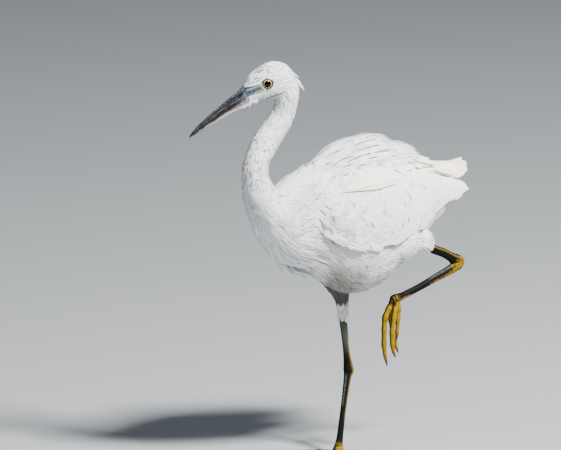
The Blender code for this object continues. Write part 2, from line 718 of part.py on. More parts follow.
def eyelids(centre, side, collection):
    """A ring of bare skin round the eye."""
    bpy.ops.mesh.primitive_torus_add(
        major_segments=16,
        minor_segments=5,
        major_radius=EYE_OPEN * 1.10,
        minor_radius=LID,
    )
    made = bpy.context.object
    mesh = made.data
    bpy.data.objects.remove(made)
    mesh.transform(
        Matrix.Translation((centre[0], centre[1] + side * LID_OUT, centre[2]))
        @ Matrix.Rotation(math.pi / 2, 4, "X")
        @ Matrix.Diagonal((1, 0.92, 1.3, 1))
    )
    return add_object("lids", mesh, collection)


def mouth_slot(side, collection):
    """The mouth line on one cheek, from the bill's base to the gape."""
    (x0, z0, out0), (x1, z1, out1) = MOUTH
    start = np.array([x0, MID_Y + side * out0, z0])
    end = np.array([x1, MID_Y + side * out1, z1])
    along = unit(end - start)
    out = unit(np.cross(along, (0, 0, 1)))
    up = np.cross(out, along)
    turn = Matrix(np.column_stack([along, out, up]).tolist()).to_4x4()
    size = (np.linalg.norm(end - start), 2 * MOUTH_DEPTH, MOUTH_SLOT)
    bm = bmesh.new()
    bmesh.ops.create_cube(bm, size=1.0)
    obj = from_bmesh("mouth", bm, collection)
    obj.data.transform(
        Matrix.Translation((start + end) / 2) @ turn @ Matrix.Diagonal((*size, 1))
    )
    return obj


def make_leg(name, leg, toes, collection, cutters):
    """Feathered thigh, bare tibia with the ankle's knob, tarsus, foot, toes and claws."""
    upper, lower, up = leg["upper"], leg["lower"], leg["up"]
    thigh, tibia = chain(
        (
            ("thigh_" + name, 0, THIGH_END, 6),
            ("tibia_" + name, THIGH_END, len(upper) - 1, 10),
        ),
        lambda t: limb_ring(upper, t, LEG_SIDES, up),
        collection,
        ("plumage", "leg_dark"),
    )
    tarsus, foot = chain(
        (
            ("tarsus_" + name, 0, TARSUS_END, 8),
            ("foot_" + name, TARSUS_END, len(lower) - 1, 4),
        ),
        lambda t: limb_ring(lower, t, LEG_SIDES, up),
        collection,
        ("leg_dark", "toe_yellow"),
    )
    rings = [limb_ring(lower, t, LEG_SIDES, up, grow=GAP) for t in np.linspace(0, TARSUS_END, 8)]
    rings[0] += GAP * unit(rings[0].mean(0) - rings[1].mean(0))
    combine(tibia, [loft("tarsus_room", rings, cutters)], "DIFFERENCE")
    if name == "left":
        locks = [
            lock("down", [row[:3] for row in rows], [row[3] for row in rows], cutters)
            for rows in THIGH_LOCKS
        ]
        combine(thigh, locks, "UNION")
    combine(thigh, [body_room(cutters)], "DIFFERENCE")
    stubs = []
    for toe, rows in toes.items():
        last = len(rows) - 1
        stub, _, _ = chain(
            (
                ("stub", 0, 1, 2),
                (f"toe_{name}_{toe}", 1, last - 2, 6),
                (f"claw_{name}_{toe}", last - 2, last, 4),
            ),
            lambda t, rows=rows: limb_ring(rows, t, TOE_SIDES, leg["toe_up"]),
            collection,
            ("toe_yellow", "toe_yellow", "claw"),
        )
        collection.objects.unlink(stub)
        stubs.append(stub)
    combine(foot, stubs, "UNION")


def flat_toe(heading, joints, claw):
    """Rows of a toe that lies on the floor: its joints, then the claw's bend and tip."""
    ahead = np.array([math.cos(math.radians(heading)), math.sin(math.radians(heading))])
    rows = [[*(ahead * d), r - TOE_FLAT, r, r] for d, r in joints]
    end, last = joints[-1]
    rows.append([*(ahead * (end + 0.55 * claw)), 0.0031, last * 0.66, last * 0.60])
    rows.append([*(ahead * (end + claw)), 0.0012, 0.0004, 0.0004])
    return rows


def make_tail(collection, cutters):
    """Rump and tail coverts, with the tail feathers fanned out of them like a low roof."""
    rings = [body_ring(RUMP, t) for t in np.linspace(0, len(RUMP) - 1, RUMP_RINGS)]
    tail = loft("tail", rings, collection)
    feathers = []
    middle = (TAIL_FEATHERS - 1) / 2
    for i in range(TAIL_FEATHERS):
        place = (i - middle) / middle
        angle = TAIL_FAN * place
        roll = -0.45 * place
        centres, widths = [], []
        for s, width in LEAF_SHAPE:
            reach = s * (TAIL_TIP[0] - TAIL_ROOT[0]) * (1 - 0.10 * place**2)
            x = TAIL_ROOT[0] + reach * math.cos(angle)
            y = MID_Y + reach * math.sin(angle) + 0.0045 * place
            z = TAIL_ROOT[1] + s * (TAIL_TIP[1] - TAIL_ROOT[1] - TAIL_ROOF * place**2)
            centres.append((x, y, z - abs(i - middle) * 0.0010))
            widths.append(TAIL_FEATHER_WIDTH * width)
        across = (
            -math.sin(angle) * math.cos(roll),
            math.cos(angle) * math.cos(roll),
            math.sin(roll),
        )
        feathers.append(leaf("rectrix", centres, [across] * len(centres), widths, cutters))
    combine(tail, feathers, "UNION")


def flank_point(x, turn, lift):
    """(distance from the mid-plane, z) of a point turned round from the back's ridge."""
    rows = list(zip(FLANK_WIDTH, FLANK_TOP, FLANK_LOW, FLANK_EGG))
    width, top, low, egg = curve_at(x, FLANK_X, rows)
    return (
        (width + lift) * math.sin(turn) * (1 + egg * math.cos(turn)),
        (top + low) / 2 + ((top - low) / 2 + lift) * math.cos(turn),
    )


def wing_row(x):
    return curve_at(x, [row[0] for row in WING], [row[1:] for row in WING])


def wing_lift(x, turn):
    """How far the wing under its feathers stands off the body."""
    _, edge, back, side, low, _ = wing_row(x)
    over = back + (side - back) * ease(turn / HUMP_UNTIL)
    under = (turn - math.radians(58)) / math.radians(edge - 58)
    return over + (low - side) * min(max(under, 0), 1)


def make_wing(name, side, collection, cutters):
    """The folded wing and shoulder feathers of one side, as a shell over the flank."""
    stations = [row[0] for row in WING]
    rings = []
    for t in np.linspace(0, len(WING) - 1, WING_RINGS):
        x = float(np.interp(t, range(len(WING)), stations))
        from_middle, edge, _, _, _, depth = wing_row(x)
        from_middle = max(from_middle, GAP / 2)
        width = curve_at(x, FLANK_X, FLANK_WIDTH) + wing_lift(x, 0)
        start = math.asin(min(1, from_middle / width))
        turns = start + (math.radians(edge) - start) * np.linspace(0, 1, WING_COLUMNS)
        outer = [flank_point(x, turn, wing_lift(x, turn)) for turn in turns]
        inner = [flank_point(x, turn, wing_lift(x, turn) - depth) for turn in turns[::-2]]
        outer[0] = (from_middle, outer[0][1])
        inner[-1] = (from_middle, inner[-1][1])
        rings.append([(x, MID_Y + side * y, z) for y, z in outer + inner])
    wing = loft(name, rings, collection)
    feathers = []
    for tier in TIERS.values():
        feathers += [wing_feather(tier, i, side, cutters) for i in range(tier["count"])]
    combine(wing, feathers, "UNION", "MANIFOLD")
    return wing


def wing_feather(tier, i, side, collection):
    """One feather of a tier, lying along the wing's surface and over the next one."""
    along = i / (tier["count"] - 1)
    tip_x, tip_turn = row_at(along * (len(tier["tips"]) - 1), tier["tips"])
    tip_turn = math.radians(tip_turn)
    tip_x += side * tier.get("drift", 0)
    heading, length, width = (
        low + (high - low) * along for low, high in (tier["heading"], tier["length"], tier["width"])
    )
    heading = math.radians(heading)
    low, high = tier["rise"]
    below = flank_point(tip_x, tip_turn + 0.05, 0)
    above = flank_point(tip_x, tip_turn - 0.05, 0)
    around = math.dist(below, above) / 0.1

    def surface(back, beside, rise):
        """A point so far behind the tip and beside the feather's middle line."""
        x = tip_x - back * math.cos(heading) - beside * math.sin(heading)
        turn = tip_turn + (-back * math.sin(heading) + beside * math.cos(heading)) / around
        y, z = flank_point(x, turn, wing_lift(x, turn) + rise)
        return np.array([x, MID_Y + side * y, z])

    centres, across, widths = [], [], []
    for s, share in LEAF_SHAPE:
        rise = low + (high - low) * s
        back = length * (1 - s)
        half = width * share / 2
        outer = surface(back, half, rise + LEAF_TILT * half)
        inner = surface(back, -half, rise - LEAF_TILT * half)
        centres.append((outer + inner) / 2)
        across.append(side * (outer - inner))
        widths.append(width * share)
    return leaf("feather", centres, across, widths, collection)


def cut_wing(wing, side, collection, cutters):
    """Cuts a wing clear of the torso, the rump, the mid-plane and the lifted thigh."""
    rump = [body_ring(RUMP, 0, ROOM) - np.array([0.002, 0, 0])]
    rump += [body_ring(RUMP, t, ROOM) for t in np.linspace(0, len(RUMP) - 1, RUMP_RINGS)]
    rooms = [body_room(cutters), loft("rump_room", rump, cutters)]
    leg = LEGS["left"]
    if side < 0:
        rings = [
            limb_ring(leg["upper"], t, LEG_SIDES, leg["up"], grow=ROOM)
            for t in np.linspace(0, THIGH_END, 6)
        ]
        rooms.append(loft("thigh_room", rings, cutters))
    bm = bmesh.new()
    bmesh.ops.create_cube(bm, size=1.0)
    half_space = from_bmesh("other_side", bm, cutters)
    half_space.data.transform(
        Matrix.Translation((0, MID_Y - side * (0.5 - GAP / 2), 0.3))
    )
    rooms.append(half_space)
    for room in rooms:
        combine(wing, [room], "DIFFERENCE", "MANIFOLD")


def main():
    egret, cutters = clear_scene()
    trunk = make_trunk(egret, cutters)
    for mandible in make_bill(egret, cutters):
        with_head(mandible)
    make_head(trunk["head"], egret, cutters)
    flat = {toe: flat_toe(*values) for toe, values in FLAT_TOES.items()}
    hanging = {toe: [[*row, row[3]] for row in rows] for toe, rows in HANGING_TOES.items()}
    make_leg("right", LEGS["right"], flat, egret, cutters)
    make_leg("left", LEGS["left"], hanging, egret, cutters)
    make_tail(egret, cutters)
    for name, side in (("wing_left", -1), ("wing_right", 1)):
        wing = make_wing(name, side, egret, cutters)
        cut_wing(wing, side, egret, cutters)


if __name__ == "__main__":
    main()
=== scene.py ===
import math

import bpy
import numpy as np
from bpy.props import FloatProperty, FloatVectorProperty, PointerProperty
from bpy.types import Operator, Panel, PropertyGroup
from mathutils import Matrix, Vector


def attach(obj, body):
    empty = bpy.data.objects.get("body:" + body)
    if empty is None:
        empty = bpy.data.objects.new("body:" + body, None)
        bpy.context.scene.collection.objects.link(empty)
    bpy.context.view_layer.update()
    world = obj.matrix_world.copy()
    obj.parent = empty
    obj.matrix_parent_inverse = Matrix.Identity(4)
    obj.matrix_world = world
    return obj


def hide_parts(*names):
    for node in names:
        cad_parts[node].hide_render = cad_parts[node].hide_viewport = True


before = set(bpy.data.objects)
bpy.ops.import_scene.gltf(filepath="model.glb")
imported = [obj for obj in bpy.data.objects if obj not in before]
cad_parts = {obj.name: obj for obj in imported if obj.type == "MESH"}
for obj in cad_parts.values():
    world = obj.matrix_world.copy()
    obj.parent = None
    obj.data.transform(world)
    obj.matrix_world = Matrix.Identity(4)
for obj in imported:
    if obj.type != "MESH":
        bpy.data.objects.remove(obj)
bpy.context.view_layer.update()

bl_info = {
    "name": "Little egret finish",
    "version": (1, 0, 0),
    "blender": (4, 5, 0),
    "location": "View3D > Sidebar > Egret",
    "description": "Skin, plumage, bill, eyes and scaled legs of a life-size little egret",
    "category": "Object",
}

SEED = 41
MM = 0.001
MID_Y = -0.012
SIDES = (("left", -1), ("right", 1))

# Stations of the whole trunk from the tail's end to the bill's base: x and z on the
# upper line, x and z on the lower line, half width, egg. The rump comes first.
RUMP_STATIONS = 4
TRUNK = np.array([
    (0.1440, 0.3100, 0.1450, 0.3010, 0.0080, 0.00),
    (0.1360, 0.3120, 0.1400, 0.2820, 0.0140, 0.00),
    (0.1260, 0.3130, 0.1290, 0.2650, 0.0200, 0.00),
    (0.1150, 0.3140, 0.1160, 0.2480, 0.0260, 0.05),
    (0.1040, 0.3150, 0.1020, 0.2395, 0.0310, 0.10),
    (0.0780, 0.3260, 0.0770, 0.2145, 0.0410, 0.08),
    (0.0460, 0.3350, 0.0460, 0.1905, 0.0495, 0.06),
    (0.0100, 0.3380, 0.0100, 0.1795, 0.0525, 0.05),
    (-0.0260, 0.3320, -0.0260, 0.1922, 0.0515, 0.03),
    (-0.0540, 0.3215, -0.0515, 0.2115, 0.0465, 0.00),
    (-0.0730, 0.3115, -0.0800, 0.2195, 0.0385, -0.05),
    (-0.0830, 0.3050, -0.1010, 0.2405, 0.0310, -0.08),
    (-0.0885, 0.3025, -0.1165, 0.2660, 0.0245, -0.08),
    (-0.0930, 0.3050, -0.1265, 0.2910, 0.0190, -0.05),
    (-0.0975, 0.3125, -0.1295, 0.3085, 0.0158, 0.00),
    (-0.1024, 0.3282, -0.1298, 0.3300, 0.0138, 0.00),
    (-0.0917, 0.3436, -0.1159, 0.3597, 0.0134, 0.00),
    (-0.0711, 0.3712, -0.0949, 0.3831, 0.0129, 0.00),
    (-0.0637, 0.3928, -0.0885, 0.3954, 0.0131, 0.00),
    (-0.0620, 0.4057, -0.0890, 0.4000, 0.0134, 0.00),
    (-0.0633, 0.4196, -0.0912, 0.4008, 0.0138, 0.02),
    (-0.0670, 0.4288, -0.0938, 0.4003, 0.0142, 0.04),
    (-0.0721, 0.4360, -0.0965, 0.3998, 0.0145, 0.05),
    (-0.0793, 0.4411, -0.0990, 0.3993, 0.0143, 0.05),
    (-0.0883, 0.4426, -0.1018, 0.3988, 0.0138, 0.05),
    (-0.0970, 0.4412, -0.1050, 0.3983, 0.0128, 0.05),
    (-0.1067, 0.4362, -0.1085, 0.3976, 0.0112, 0.04),
    (-0.1162, 0.4290, -0.1130, 0.3965, 0.0092, 0.02),
    (-0.1228, 0.4172, -0.1182, 0.3945, 0.0066, 0.00),
])
LAST_STATION = len(TRUNK) - 1 - RUMP_STATIONS
# The head is turned aside, eased in between two stations of the neck.
HEAD_TURN, TURN_FROM, TURN_TO = math.radians(-22), 11.0, 15.0
HEAD_PIVOT_X = -0.0758
# The bill in the same columns; the last one is the height share of the mouth line.
BILL = np.array([
    (-0.1200, 0.4188, -0.1160, 0.3962, 0.0070, 0.37),
    (-0.1228, 0.4168, -0.1188, 0.3950, 0.0066, 0.37),
    (-0.1293, 0.4098, -0.1275, 0.3907, 0.0056, 0.37),
    (-0.1360, 0.4046, -0.1362, 0.3866, 0.0046, 0.37),
    (-0.1462, 0.3966, -0.1478, 0.3803, 0.0038, 0.38),
    (-0.1556, 0.3890, -0.1560, 0.3757, 0.0032, 0.39),
    (-0.1647, 0.3815, -0.1645, 0.3709, 0.0026, 0.40),
    (-0.1727, 0.3741, -0.1725, 0.3663, 0.0019, 0.41),
    (-0.1791, 0.3672, -0.1789, 0.3626, 0.0012, 0.43),
    (-0.1829, 0.3618, -0.1825, 0.3606, 0.0005, 0.45),
])
# How deep the coat lies on the skin in millimetres, by station.
COAT_DEPTH = ((-4, 1.6), (-1, 2.6), (2, 4.0), (6, 4.5), (9, 3.2), (11, 2.4), (14, 2.2),
              (18, 2.2), (21, 2.0), (23, 1.2), (24, 0.4))
# In the head's side view: the line of the bare skin and the crease behind the jaw.
LORE_LINE = ((-0.1215, 0.4100), (-0.0990, 0.4185))
JAW_LINE = ((-0.0995, 0.4033), (-0.0780, 0.4125))
# The body's regions of loose feathers: count, barbs of each, stations, where they grow,
# length, width, a barb's thickness, rise of the tip in millimetres, droop of the heading.
REGIONS = (
    ("breast_feathers_lower", 1000, 11, (3.0, 7.5), "body", (0.018, 0.028), 0.013, 0.0019,
     (0.0, 1.2), 0.25),
    ("breast_feathers_upper", 1000, 11, (6.5, 10.5), "body", (0.014, 0.022), 0.010, 0.0016,
     (-0.2, 0.8), 0.15),
    ("belly_feathers", 1000, 11, (-0.5, 4.5), "body", (0.016, 0.026), 0.013, 0.0019,
     (-0.2, 1.0), 0.10),
    ("rump_feathers", 620, 11, (-3.9, 0.8), "body", (0.013, 0.020), 0.011, 0.0017,
     (-0.1, 0.7), 0.0),
    ("neck_feathers_lower", 720, 9, (9.3, 12.6), "anywhere", (0.010, 0.016), 0.0065, 0.0012,
     (-0.5, 0.6), 0.05),
    ("neck_feathers_upper", 860, 9, (12.3, 16.5), "anywhere", (0.008, 0.012), 0.0050, 0.0010,
     (-0.7, 0.4), 0.05),
    ("head_feathers", 1750, 7, (15.8, 23.9), "face", (0.0040, 0.0065), 0.0026, 0.0006,
     (-1.5, -1.0), 0.0),
)
# Lobes of long feathers on the lifted thigh: count, reach along and round the limb,
# length, width and rise.
THIGH_LOBES = (
    (30, (1.7, 2.4), (-1.9, 0.5), (0.024, 0.031), 0.014, (0.0030, 0.0055)),
    (14, (2.9, 3.3), (-2.9, -1.3), (0.009, 0.012), 0.007, (0.0015, 0.0028)),
)
# Where the tips lie of the breast's fringe on the trunk, and of the flank's lobe on the thigh.
FRINGE_TIPS = ((-6.3, 3.14), (-5.7, 3.14), (-5.0, 3.14), (-4.9, 3.32), (-5.2, 3.74),
               (-5.35, 4.07), (-5.5, 4.45))
HANGING_TIPS = ((-5.5, 0.15), (-5.0, 0.18), (-4.5, 0.25), (-4.5, 0.50), (-4.8, 0.75))
LOBE_TIPS = ((1.10, -0.80), (1.47, -1.05), (1.67, -1.54), (1.78, -2.13), (1.75, -2.60),
             (1.40, -2.95))
# The tail's coverts: count of a row, its station and its reach round the trunk.
TAIL_COVERTS = ((12, -3.7, 1.1), (11, -3.0, 1.0), (10, -2.2, 0.95), (9, -1.4, 0.9),
                (8, -0.6, 0.85))
# The eye: centre in the side view, distance from the mid-plane, radius, and its colours
# from pupil to rim by share of the opening. Then the lid's points round and across it.
EYE_AT, EYE_OUT, EYE_RADIUS = np.array([-0.0985, 0.4192]), 0.0072, 0.0066
IRIS = ((0.0, "#010101"), (0.70, "#010101"), (0.73, "#A8903A"), (0.77, "#E6DC94"),
        (0.81, "#B88A20"), (0.86, "#4A2E06"), (0.90, "#040302"), (1.6, "#040302"))
LID = (96, 16)
# Colours of the legs' scales and claws that aren't settings.
BROWN, AMBER = "#120A00", "#8A3A08"
# The place in a feather that a skin gives its material, and a tuft's size in the UV map.
SKIN_TINT, TUFT_PATCH = (0.6, 0.0, 0.3), 0.003
# Degrees that the body is turned to the camera, and that the camera looks down.
CAMERA_AZIMUTH, CAMERA_ELEVATION = -34, 10
# Single feather edges on the wing, with painted shade in gaps and under steps, as lines of
# x and turn in degrees: kind, colour, half width and height over the wing, then the lines.
WING_MARKS = (
    # Cream feather edges: partly their own warm colour, partly painted shade under the step.
    ("cream edges", "#E2DABE", 0.0009, 0.0018, (
        ((-0.0055, 37), (0.0085, 37.5), (0.0305, 31.3), (0.053, 24.2), (0.07, 23)),
        ((-0.035, 55.2), (-0.022, 57.7), (-0.0085, 59.8), (0.0075, 60.8), (0.0195, 59.3),
         (0.0315, 58.5)),
    )),
    # Painted shade: tan in the gap where the tertials part from the wing.
    ("tan web", "#A39A6E", 0.0013, 0.0019, (
        ((0.067, 29.5), (0.0765, 33.2), (0.0925, 34.5), (0.1055, 33.8)),
        ((0.0945, 42.2), (0.109, 48.2), (0.126, 53.2)),
    )),
    # Painted shade: short dark gaps between feathers.
    ("dark gaps", "#85817A", 0.0004, 0.0013, (
        ((-0.0375, 37.8), (-0.0305, 36.2)), ((-0.026, 40), (-0.0195, 41.2)),
        ((-0.0265, 68.2), (-0.0225, 71)), ((0.0105, 76), (0.0165, 80.2)),
        ((0.0395, 72.2), (0.043, 76.8)), ((0.0475, 67), (0.051, 72.2)),
        ((0.071, 60.8), (0.078, 68.2)), ((0.047, 84.5), (0.046, 89.5)),
        ((0.0395, 87), (0.0375, 92)), ((0.025, 92.5), (0.024, 97)),
        ((-0.005, 84), (-0.0005, 87.8)), ((0.068, 97), (0.064, 101.8)),
        ((0.032, 46), (0.0455, 51.8)),
        ((-0.048, 96), (-0.0315, 100.5), (-0.0065, 106.5), (0.011, 108.5)),
    )),
    ("roll of white", "#F8F9FA", 0.0008, 0.0016, (
        ((-0.0325, 102.2), (-0.019, 104.5), (-0.0065, 107)),
    )),
    ("blue shade", "#8E9AAC", 0.0006, 0.0011, (
        ((-0.061, 67.2), (-0.056, 75.2)), ((-0.0635, 76.2), (-0.059, 83.8), (-0.0535, 89.5)),
        ((-0.0545, 85.8), (-0.0485, 93)), ((-0.0555, 65), (-0.049, 70.2)),
        ((-0.0505, 75.8), (-0.0475, 81.8)), ((-0.061, 81.2), (-0.0575, 91)),
    )),
)
# The same on the mantle's front, and on head, neck and body by station and angle.
MANTLE_MARKS = (
    ("mantle shade", "#94A1B7", 0.0006, 0.0012, (
        ((-0.0565, 13.2), (-0.041, 9.5)), ((-0.034, 0), (-0.0235, 0), (-0.016, 3)),
        ((-0.032, 9.2), (-0.0215, 10.8), (-0.0095, 14)), ((-0.041, 14.8), (-0.027, 17.8)),
        ((-0.029, 22), (-0.0185, 23), (-0.0035, 26.3)),
        ((-0.0145, 28.8), (0.0015, 28), (0.0165, 27.2)), ((-0.0225, 31), (-0.011, 33.2)),
        ((0.001, 14.8), (0.018, 12.8), (0.031, 13)),
        ((0.001, 22.2), (0.0185, 20.5), (0.0325, 20.8)),
        ((0.018, 27.8), (0.031, 27), (0.0415, 26.8)), ((-0.006, 9), (0.009, 5.5)),
        ((-0.033, 14.8), (-0.029, 15.8)), ((-0.049, 15.5), (-0.038, 14.5)),
        ((0.0215, 7.8), (0.039, 6.8)), ((0.009, 32.5), (0.022, 31.8)),
    )),
)
BODY_MARKS = (
    # Painted shadow: a dark line in the crease behind the jaw.
    ("jaw line", "#55514A", 0.0005, -0.001, (
        ((19.45, 3.44), (17.54, 3.8), (16.8, 4.14), (16.12, 4.66)),
    )),
    ("speck", "#3A3C40", 0.0004, -0.001, (
        ((20.29, 4.28), (19.93, 4.31)), ((19.75, 4.35), (19.57, 4.39)),
    )),
    ("brow shade", "#5F6B7C", 0.0004, -0.0010, (
        ((23.04, 5.17), (21.81, 5.07)), ((19.93, 4.88), (19.55, 4.74)),
    )),
    ("chin shade", "#A9ADB2", 0.0005, -0.0006, (
        ((15.09, 3.13), (14.75, 3.81)), ((14.49, 3.5), (13.67, 3.12)),
        ((14.59, 3.92), (14.21, 4.02)),
    )),
    ("neck shade", "#A3A9B0", 0.0005, 0.0002, (
        ((11.4, 3.46), (11.56, 3.56)), ((11.91, 4.1), (12.05, 4.06)),
        ((12.31, 4.89), (12.45, 4.74)), ((10.38, 3.9), (10.16, 3.74)),
        ((11.1, 4.97), (11.34, 4.94)), ((11.71, 3.8), (11.85, 3.81)),
        ((11.06, 3.56), (10.84, 3.6)), ((12.53, 3.96), (12.65, 3.89)),
        ((9.74, 2.59), (9.12, 2.78), (8.66, 2.95)), ((8.96, 2.89), (8.36, 2.53), (8.32, 2.81)),
        ((8.36, 3.78), (8.19, 3.87)), ((11.32, 3.99), (11.48, 3.94)),
        ((11.83, 4.76), (12.03, 4.72)),
    )),
    ("flank shade", "#A39C92", 0.0006, 0.0007, (
        ((6.19, 5.11), (5.85, 4.97)), ((5.75, 4.84), (5.53, 4.7)), ((5.51, 4.28), (5.15, 4.12)),
        ((4.85, 4.41), (4.62, 4.35)), ((3.7, 3.97), (3.54, 3.8)), ((2.74, 3.98), (2.6, 3.87)),
        ((5.09, 4), (4.44, 3.92)), ((4.66, 4.24), (4.06, 4.17)), ((3.28, 4.18), (3.18, 4.06)),
        ((4.93, 3.65), (4.42, 3.59)), ((3.22, 3.62), (2.58, 3.39)),
    )),
)

# The flank that a wing lies on, by x: half width, top, bottom, egg.
FLANK_X = np.array([-0.070, -0.054, -0.026, 0.010, 0.046, 0.078, 0.104, 0.130, 0.160])
FLANK = np.array([
    (0.0400, 0.3130, 0.2120, -0.02),
    (0.0465, 0.3215, 0.2015, 0.00),
    (0.0515, 0.3320, 0.1860, 0.03),
    (0.0525, 0.3380, 0.1795, 0.05),
    (0.0495, 0.3350, 0.1870, 0.06),
    (0.0410, 0.3260, 0.2090, 0.08),
    (0.0300, 0.3150, 0.2330, 0.10),
    (0.0235, 0.3090, 0.2500, 0.05),
    (0.0190, 0.3060, 0.2620, 0.00),
])
# The folded wing, by x: upper edge's distance from the mid-plane, turn to the lower edge
# in degrees, and how far it stands off the flank at the back, the side and the edge.
WING = np.array([
    (-0.0660, 0.0360, 88, 0.0018, 0.0020, 0.0016),
    (-0.0560, 0.0220, 96, 0.0030, 0.0036, 0.0020),
    (-0.0450, 0.0080, 99, 0.0040, 0.0046, 0.0024),
    (-0.0340, 0.0000, 102, 0.0060, 0.0052, 0.0026),
    (-0.0200, 0.0000, 104, 0.0108, 0.0058, 0.0026),
    (-0.0060, 0.0000, 105, 0.0130, 0.0060, 0.0026),
    (0.0140, 0.0000, 105, 0.0134, 0.0060, 0.0026),
    (0.0340, 0.0000, 105, 0.0154, 0.0058, 0.0026),
    (0.0500, 0.0000, 105, 0.0150, 0.0054, 0.0026),
    (0.0640, 0.0000, 104, 0.0110, 0.0050, 0.0026),
    (0.0780, 0.0000, 101, 0.0086, 0.0046, 0.0026),
    (0.0920, 0.0010, 98, 0.0072, 0.0042, 0.0024),
    (0.1040, 0.0055, 94, 0.0054, 0.0036, 0.0022),
    (0.1140, 0.0118, 90, 0.0040, 0.0030, 0.0020),
    (0.1230, 0.0178, 86, 0.0030, 0.0024, 0.0016),
    (0.1290, 0.0205, 80, 0.0024, 0.0020, 0.0014),
])
HUMP_UNTIL, EDGE_FROM = math.radians(48), math.radians(58)
# Width that the ridge leaves free, and millimetres that the shoulder sinks in front.
RIDGE_MARGIN, SHOULDER_SINK = 0.003, 6.5

# How far the wing's coverts stand over its skin in millimetres, by turn from the ridge in
# degrees; over the back it goes by x, because the mantle lies close in front and bushes
# out behind.
COVER = ((0, 0.0), (25, 0.0), (48, 2.2), (60, 2.3), (75, 2.0), (90, 1.4), (104, 0.7))
COVER_SHARE = ((-0.066, 0.3), (-0.045, 1.0), (0.10, 1.0), (0.14, 0.5))
BACK_COVER = ((-0.066, -1.5), (-0.030, -3.2), (0.000, -3.6), (0.020, -4.0), (0.030, -7.0),
              (0.040, -12.0), (0.050, -11.0), (0.060, -8.0), (0.070, -6.0), (0.080, -4.0),
              (0.090, -2.5), (0.100, -1.0), (0.110, 0.0))
# Two bushy lobes of the mantle stand over that, one behind the other: the cover they lie
# at, x of their tips, reach round the back in degrees, length and depth in metres.
LOBES = (
    (((-0.066, -1.5), (-0.030, -2.6), (0.000, -2.4), (0.030, -0.6), (0.045, 0.3),
      (0.055, 2.2), (0.062, 4.6), (0.070, 7.6)),
     (0.0440, 0.0520), (0, 30), (0.034, 0.046), 0.0090),
    (((0.020, -5.0), (0.030, -8.0), (0.040, -9.0), (0.050, -5.5), (0.060, -1.0),
      (0.070, 2.4), (0.080, 5.6), (0.090, 7.0), (0.110, 5.0)),
     (0.0730, 0.0810), (2, 33), (0.034, 0.046), 0.0070),
)
# The folded wing's lower edge: x and turn in degrees.
WING_EDGE = ((-0.066, 80), (-0.049, 93), (-0.033, 101), (0.0, 105.5), (0.03, 104),
             (0.057, 101), (0.091, 101), (0.148, 83))
# Tiers of vanes from the lower edge up: count, tips by x and turn, then pairs from the
# first vane to the last of heading, length and width, and of millimetres that the root
# and the tip rise.
TIERS = (
    (32, ((0.1470, 84), (0.1200, 93), (0.0910, 101), (0.0600, 101.5), (0.0280, 104.5),
          (-0.0040, 105.5), (-0.0330, 101), (-0.0500, 92), (-0.0610, 82)),
     (16, 32), (0.064, 0.020), (0.0190, 0.0110), (-1.0, 0.25)),
    (20, ((0.1380, 78), (0.1120, 88), (0.0830, 95), (0.0500, 97), (0.0150, 99.5), (-0.0200, 99),
          (-0.0440, 91)), (17, 32), (0.052, 0.026), (0.0190, 0.0120), (-0.9, 0.25)),
    (15, ((0.1240, 71), (0.0980, 82), (0.0690, 88), (0.0350, 91), (-0.0020, 93), (-0.0300, 91),
          (-0.0500, 83)), (19, 34), (0.050, 0.026), (0.0200, 0.0125), (-0.8, 0.2)),
    (13, ((0.1100, 63), (0.0840, 75), (0.0540, 82), (0.0180, 85), (-0.0180, 86), (-0.0460, 77)),
     (21, 36), (0.048, 0.026), (0.0200, 0.0125), (-0.8, 0.2)),
    (12, ((0.0960, 57), (0.0690, 69), (0.0360, 75), (0.0000, 78), (-0.0300, 76), (-0.0520, 66)),
     (22, 36), (0.046, 0.024), (0.0200, 0.0125), (-0.8, 0.2)),
    (12, ((0.0820, 51), (0.0520, 63), (0.0180, 68), (-0.0160, 69), (-0.0400, 63), (-0.0550, 54)),
     (21, 34), (0.044, 0.023), (0.0195, 0.0120), (-0.8, 0.2)),
    (11, ((0.0620, 52), (0.0320, 58), (0.0000, 60), (-0.0280, 57), (-0.0500, 46)),
     (19, 30), (0.042, 0.022), (0.0190, 0.0115), (-0.8, 0.2)),
    (10, ((0.1120, 23), (0.1020, 29), (0.0850, 36), (0.0620, 45), (0.0420, 52), (0.0220, 57),
          (0.0000, 56)), (9, 20), (0.058, 0.044), (0.0200, 0.0210), (-0.9, 1.6)),
    (9, ((0.1060, 12), (0.0980, 22), (0.0780, 33), (0.0580, 41), (0.0340, 46), (0.0060, 47),
         (-0.0200, 43)),
     (7, 18), (0.050, 0.036), (0.0190, 0.0180), (-0.9, 1.0)),
    (8, ((0.0900, 6), (0.0760, 16), (0.0560, 27), (0.0300, 36), (0.0000, 37), (-0.0240, 35),
         (-0.0440, 28)),
     (3, 16), (0.044, 0.030), (0.0180, 0.0150), (-0.9, 0.6)),
)

# The chin's feathering runs on under the bill: x, z and radius.
CHIN = ((-0.1060, 0.4020, 0.0062), (-0.1150, 0.3982, 0.0052), (-0.1235, 0.3938, 0.0034),
        (-0.1300, 0.3899, 0.0010))

# Small plumes at the nape in the head's side view: distance from the mid-plane, then
# rows of x, z and radius.
NAPE_PLUMES = (
    (0.0, ((-0.0720, 0.4270, 0.0020), (-0.0615, 0.4180, 0.0018), (-0.0540, 0.4062, 0.0004))),
    (0.0028, ((-0.0740, 0.4325, 0.0020), (-0.0660, 0.4262, 0.0017), (-0.0605, 0.4210, 0.0004))),
    (-0.0012, ((-0.0720, 0.4255, 0.0019), (-0.0625, 0.4160, 0.0017), (-0.0560, 0.4085, 0.0004))),
)

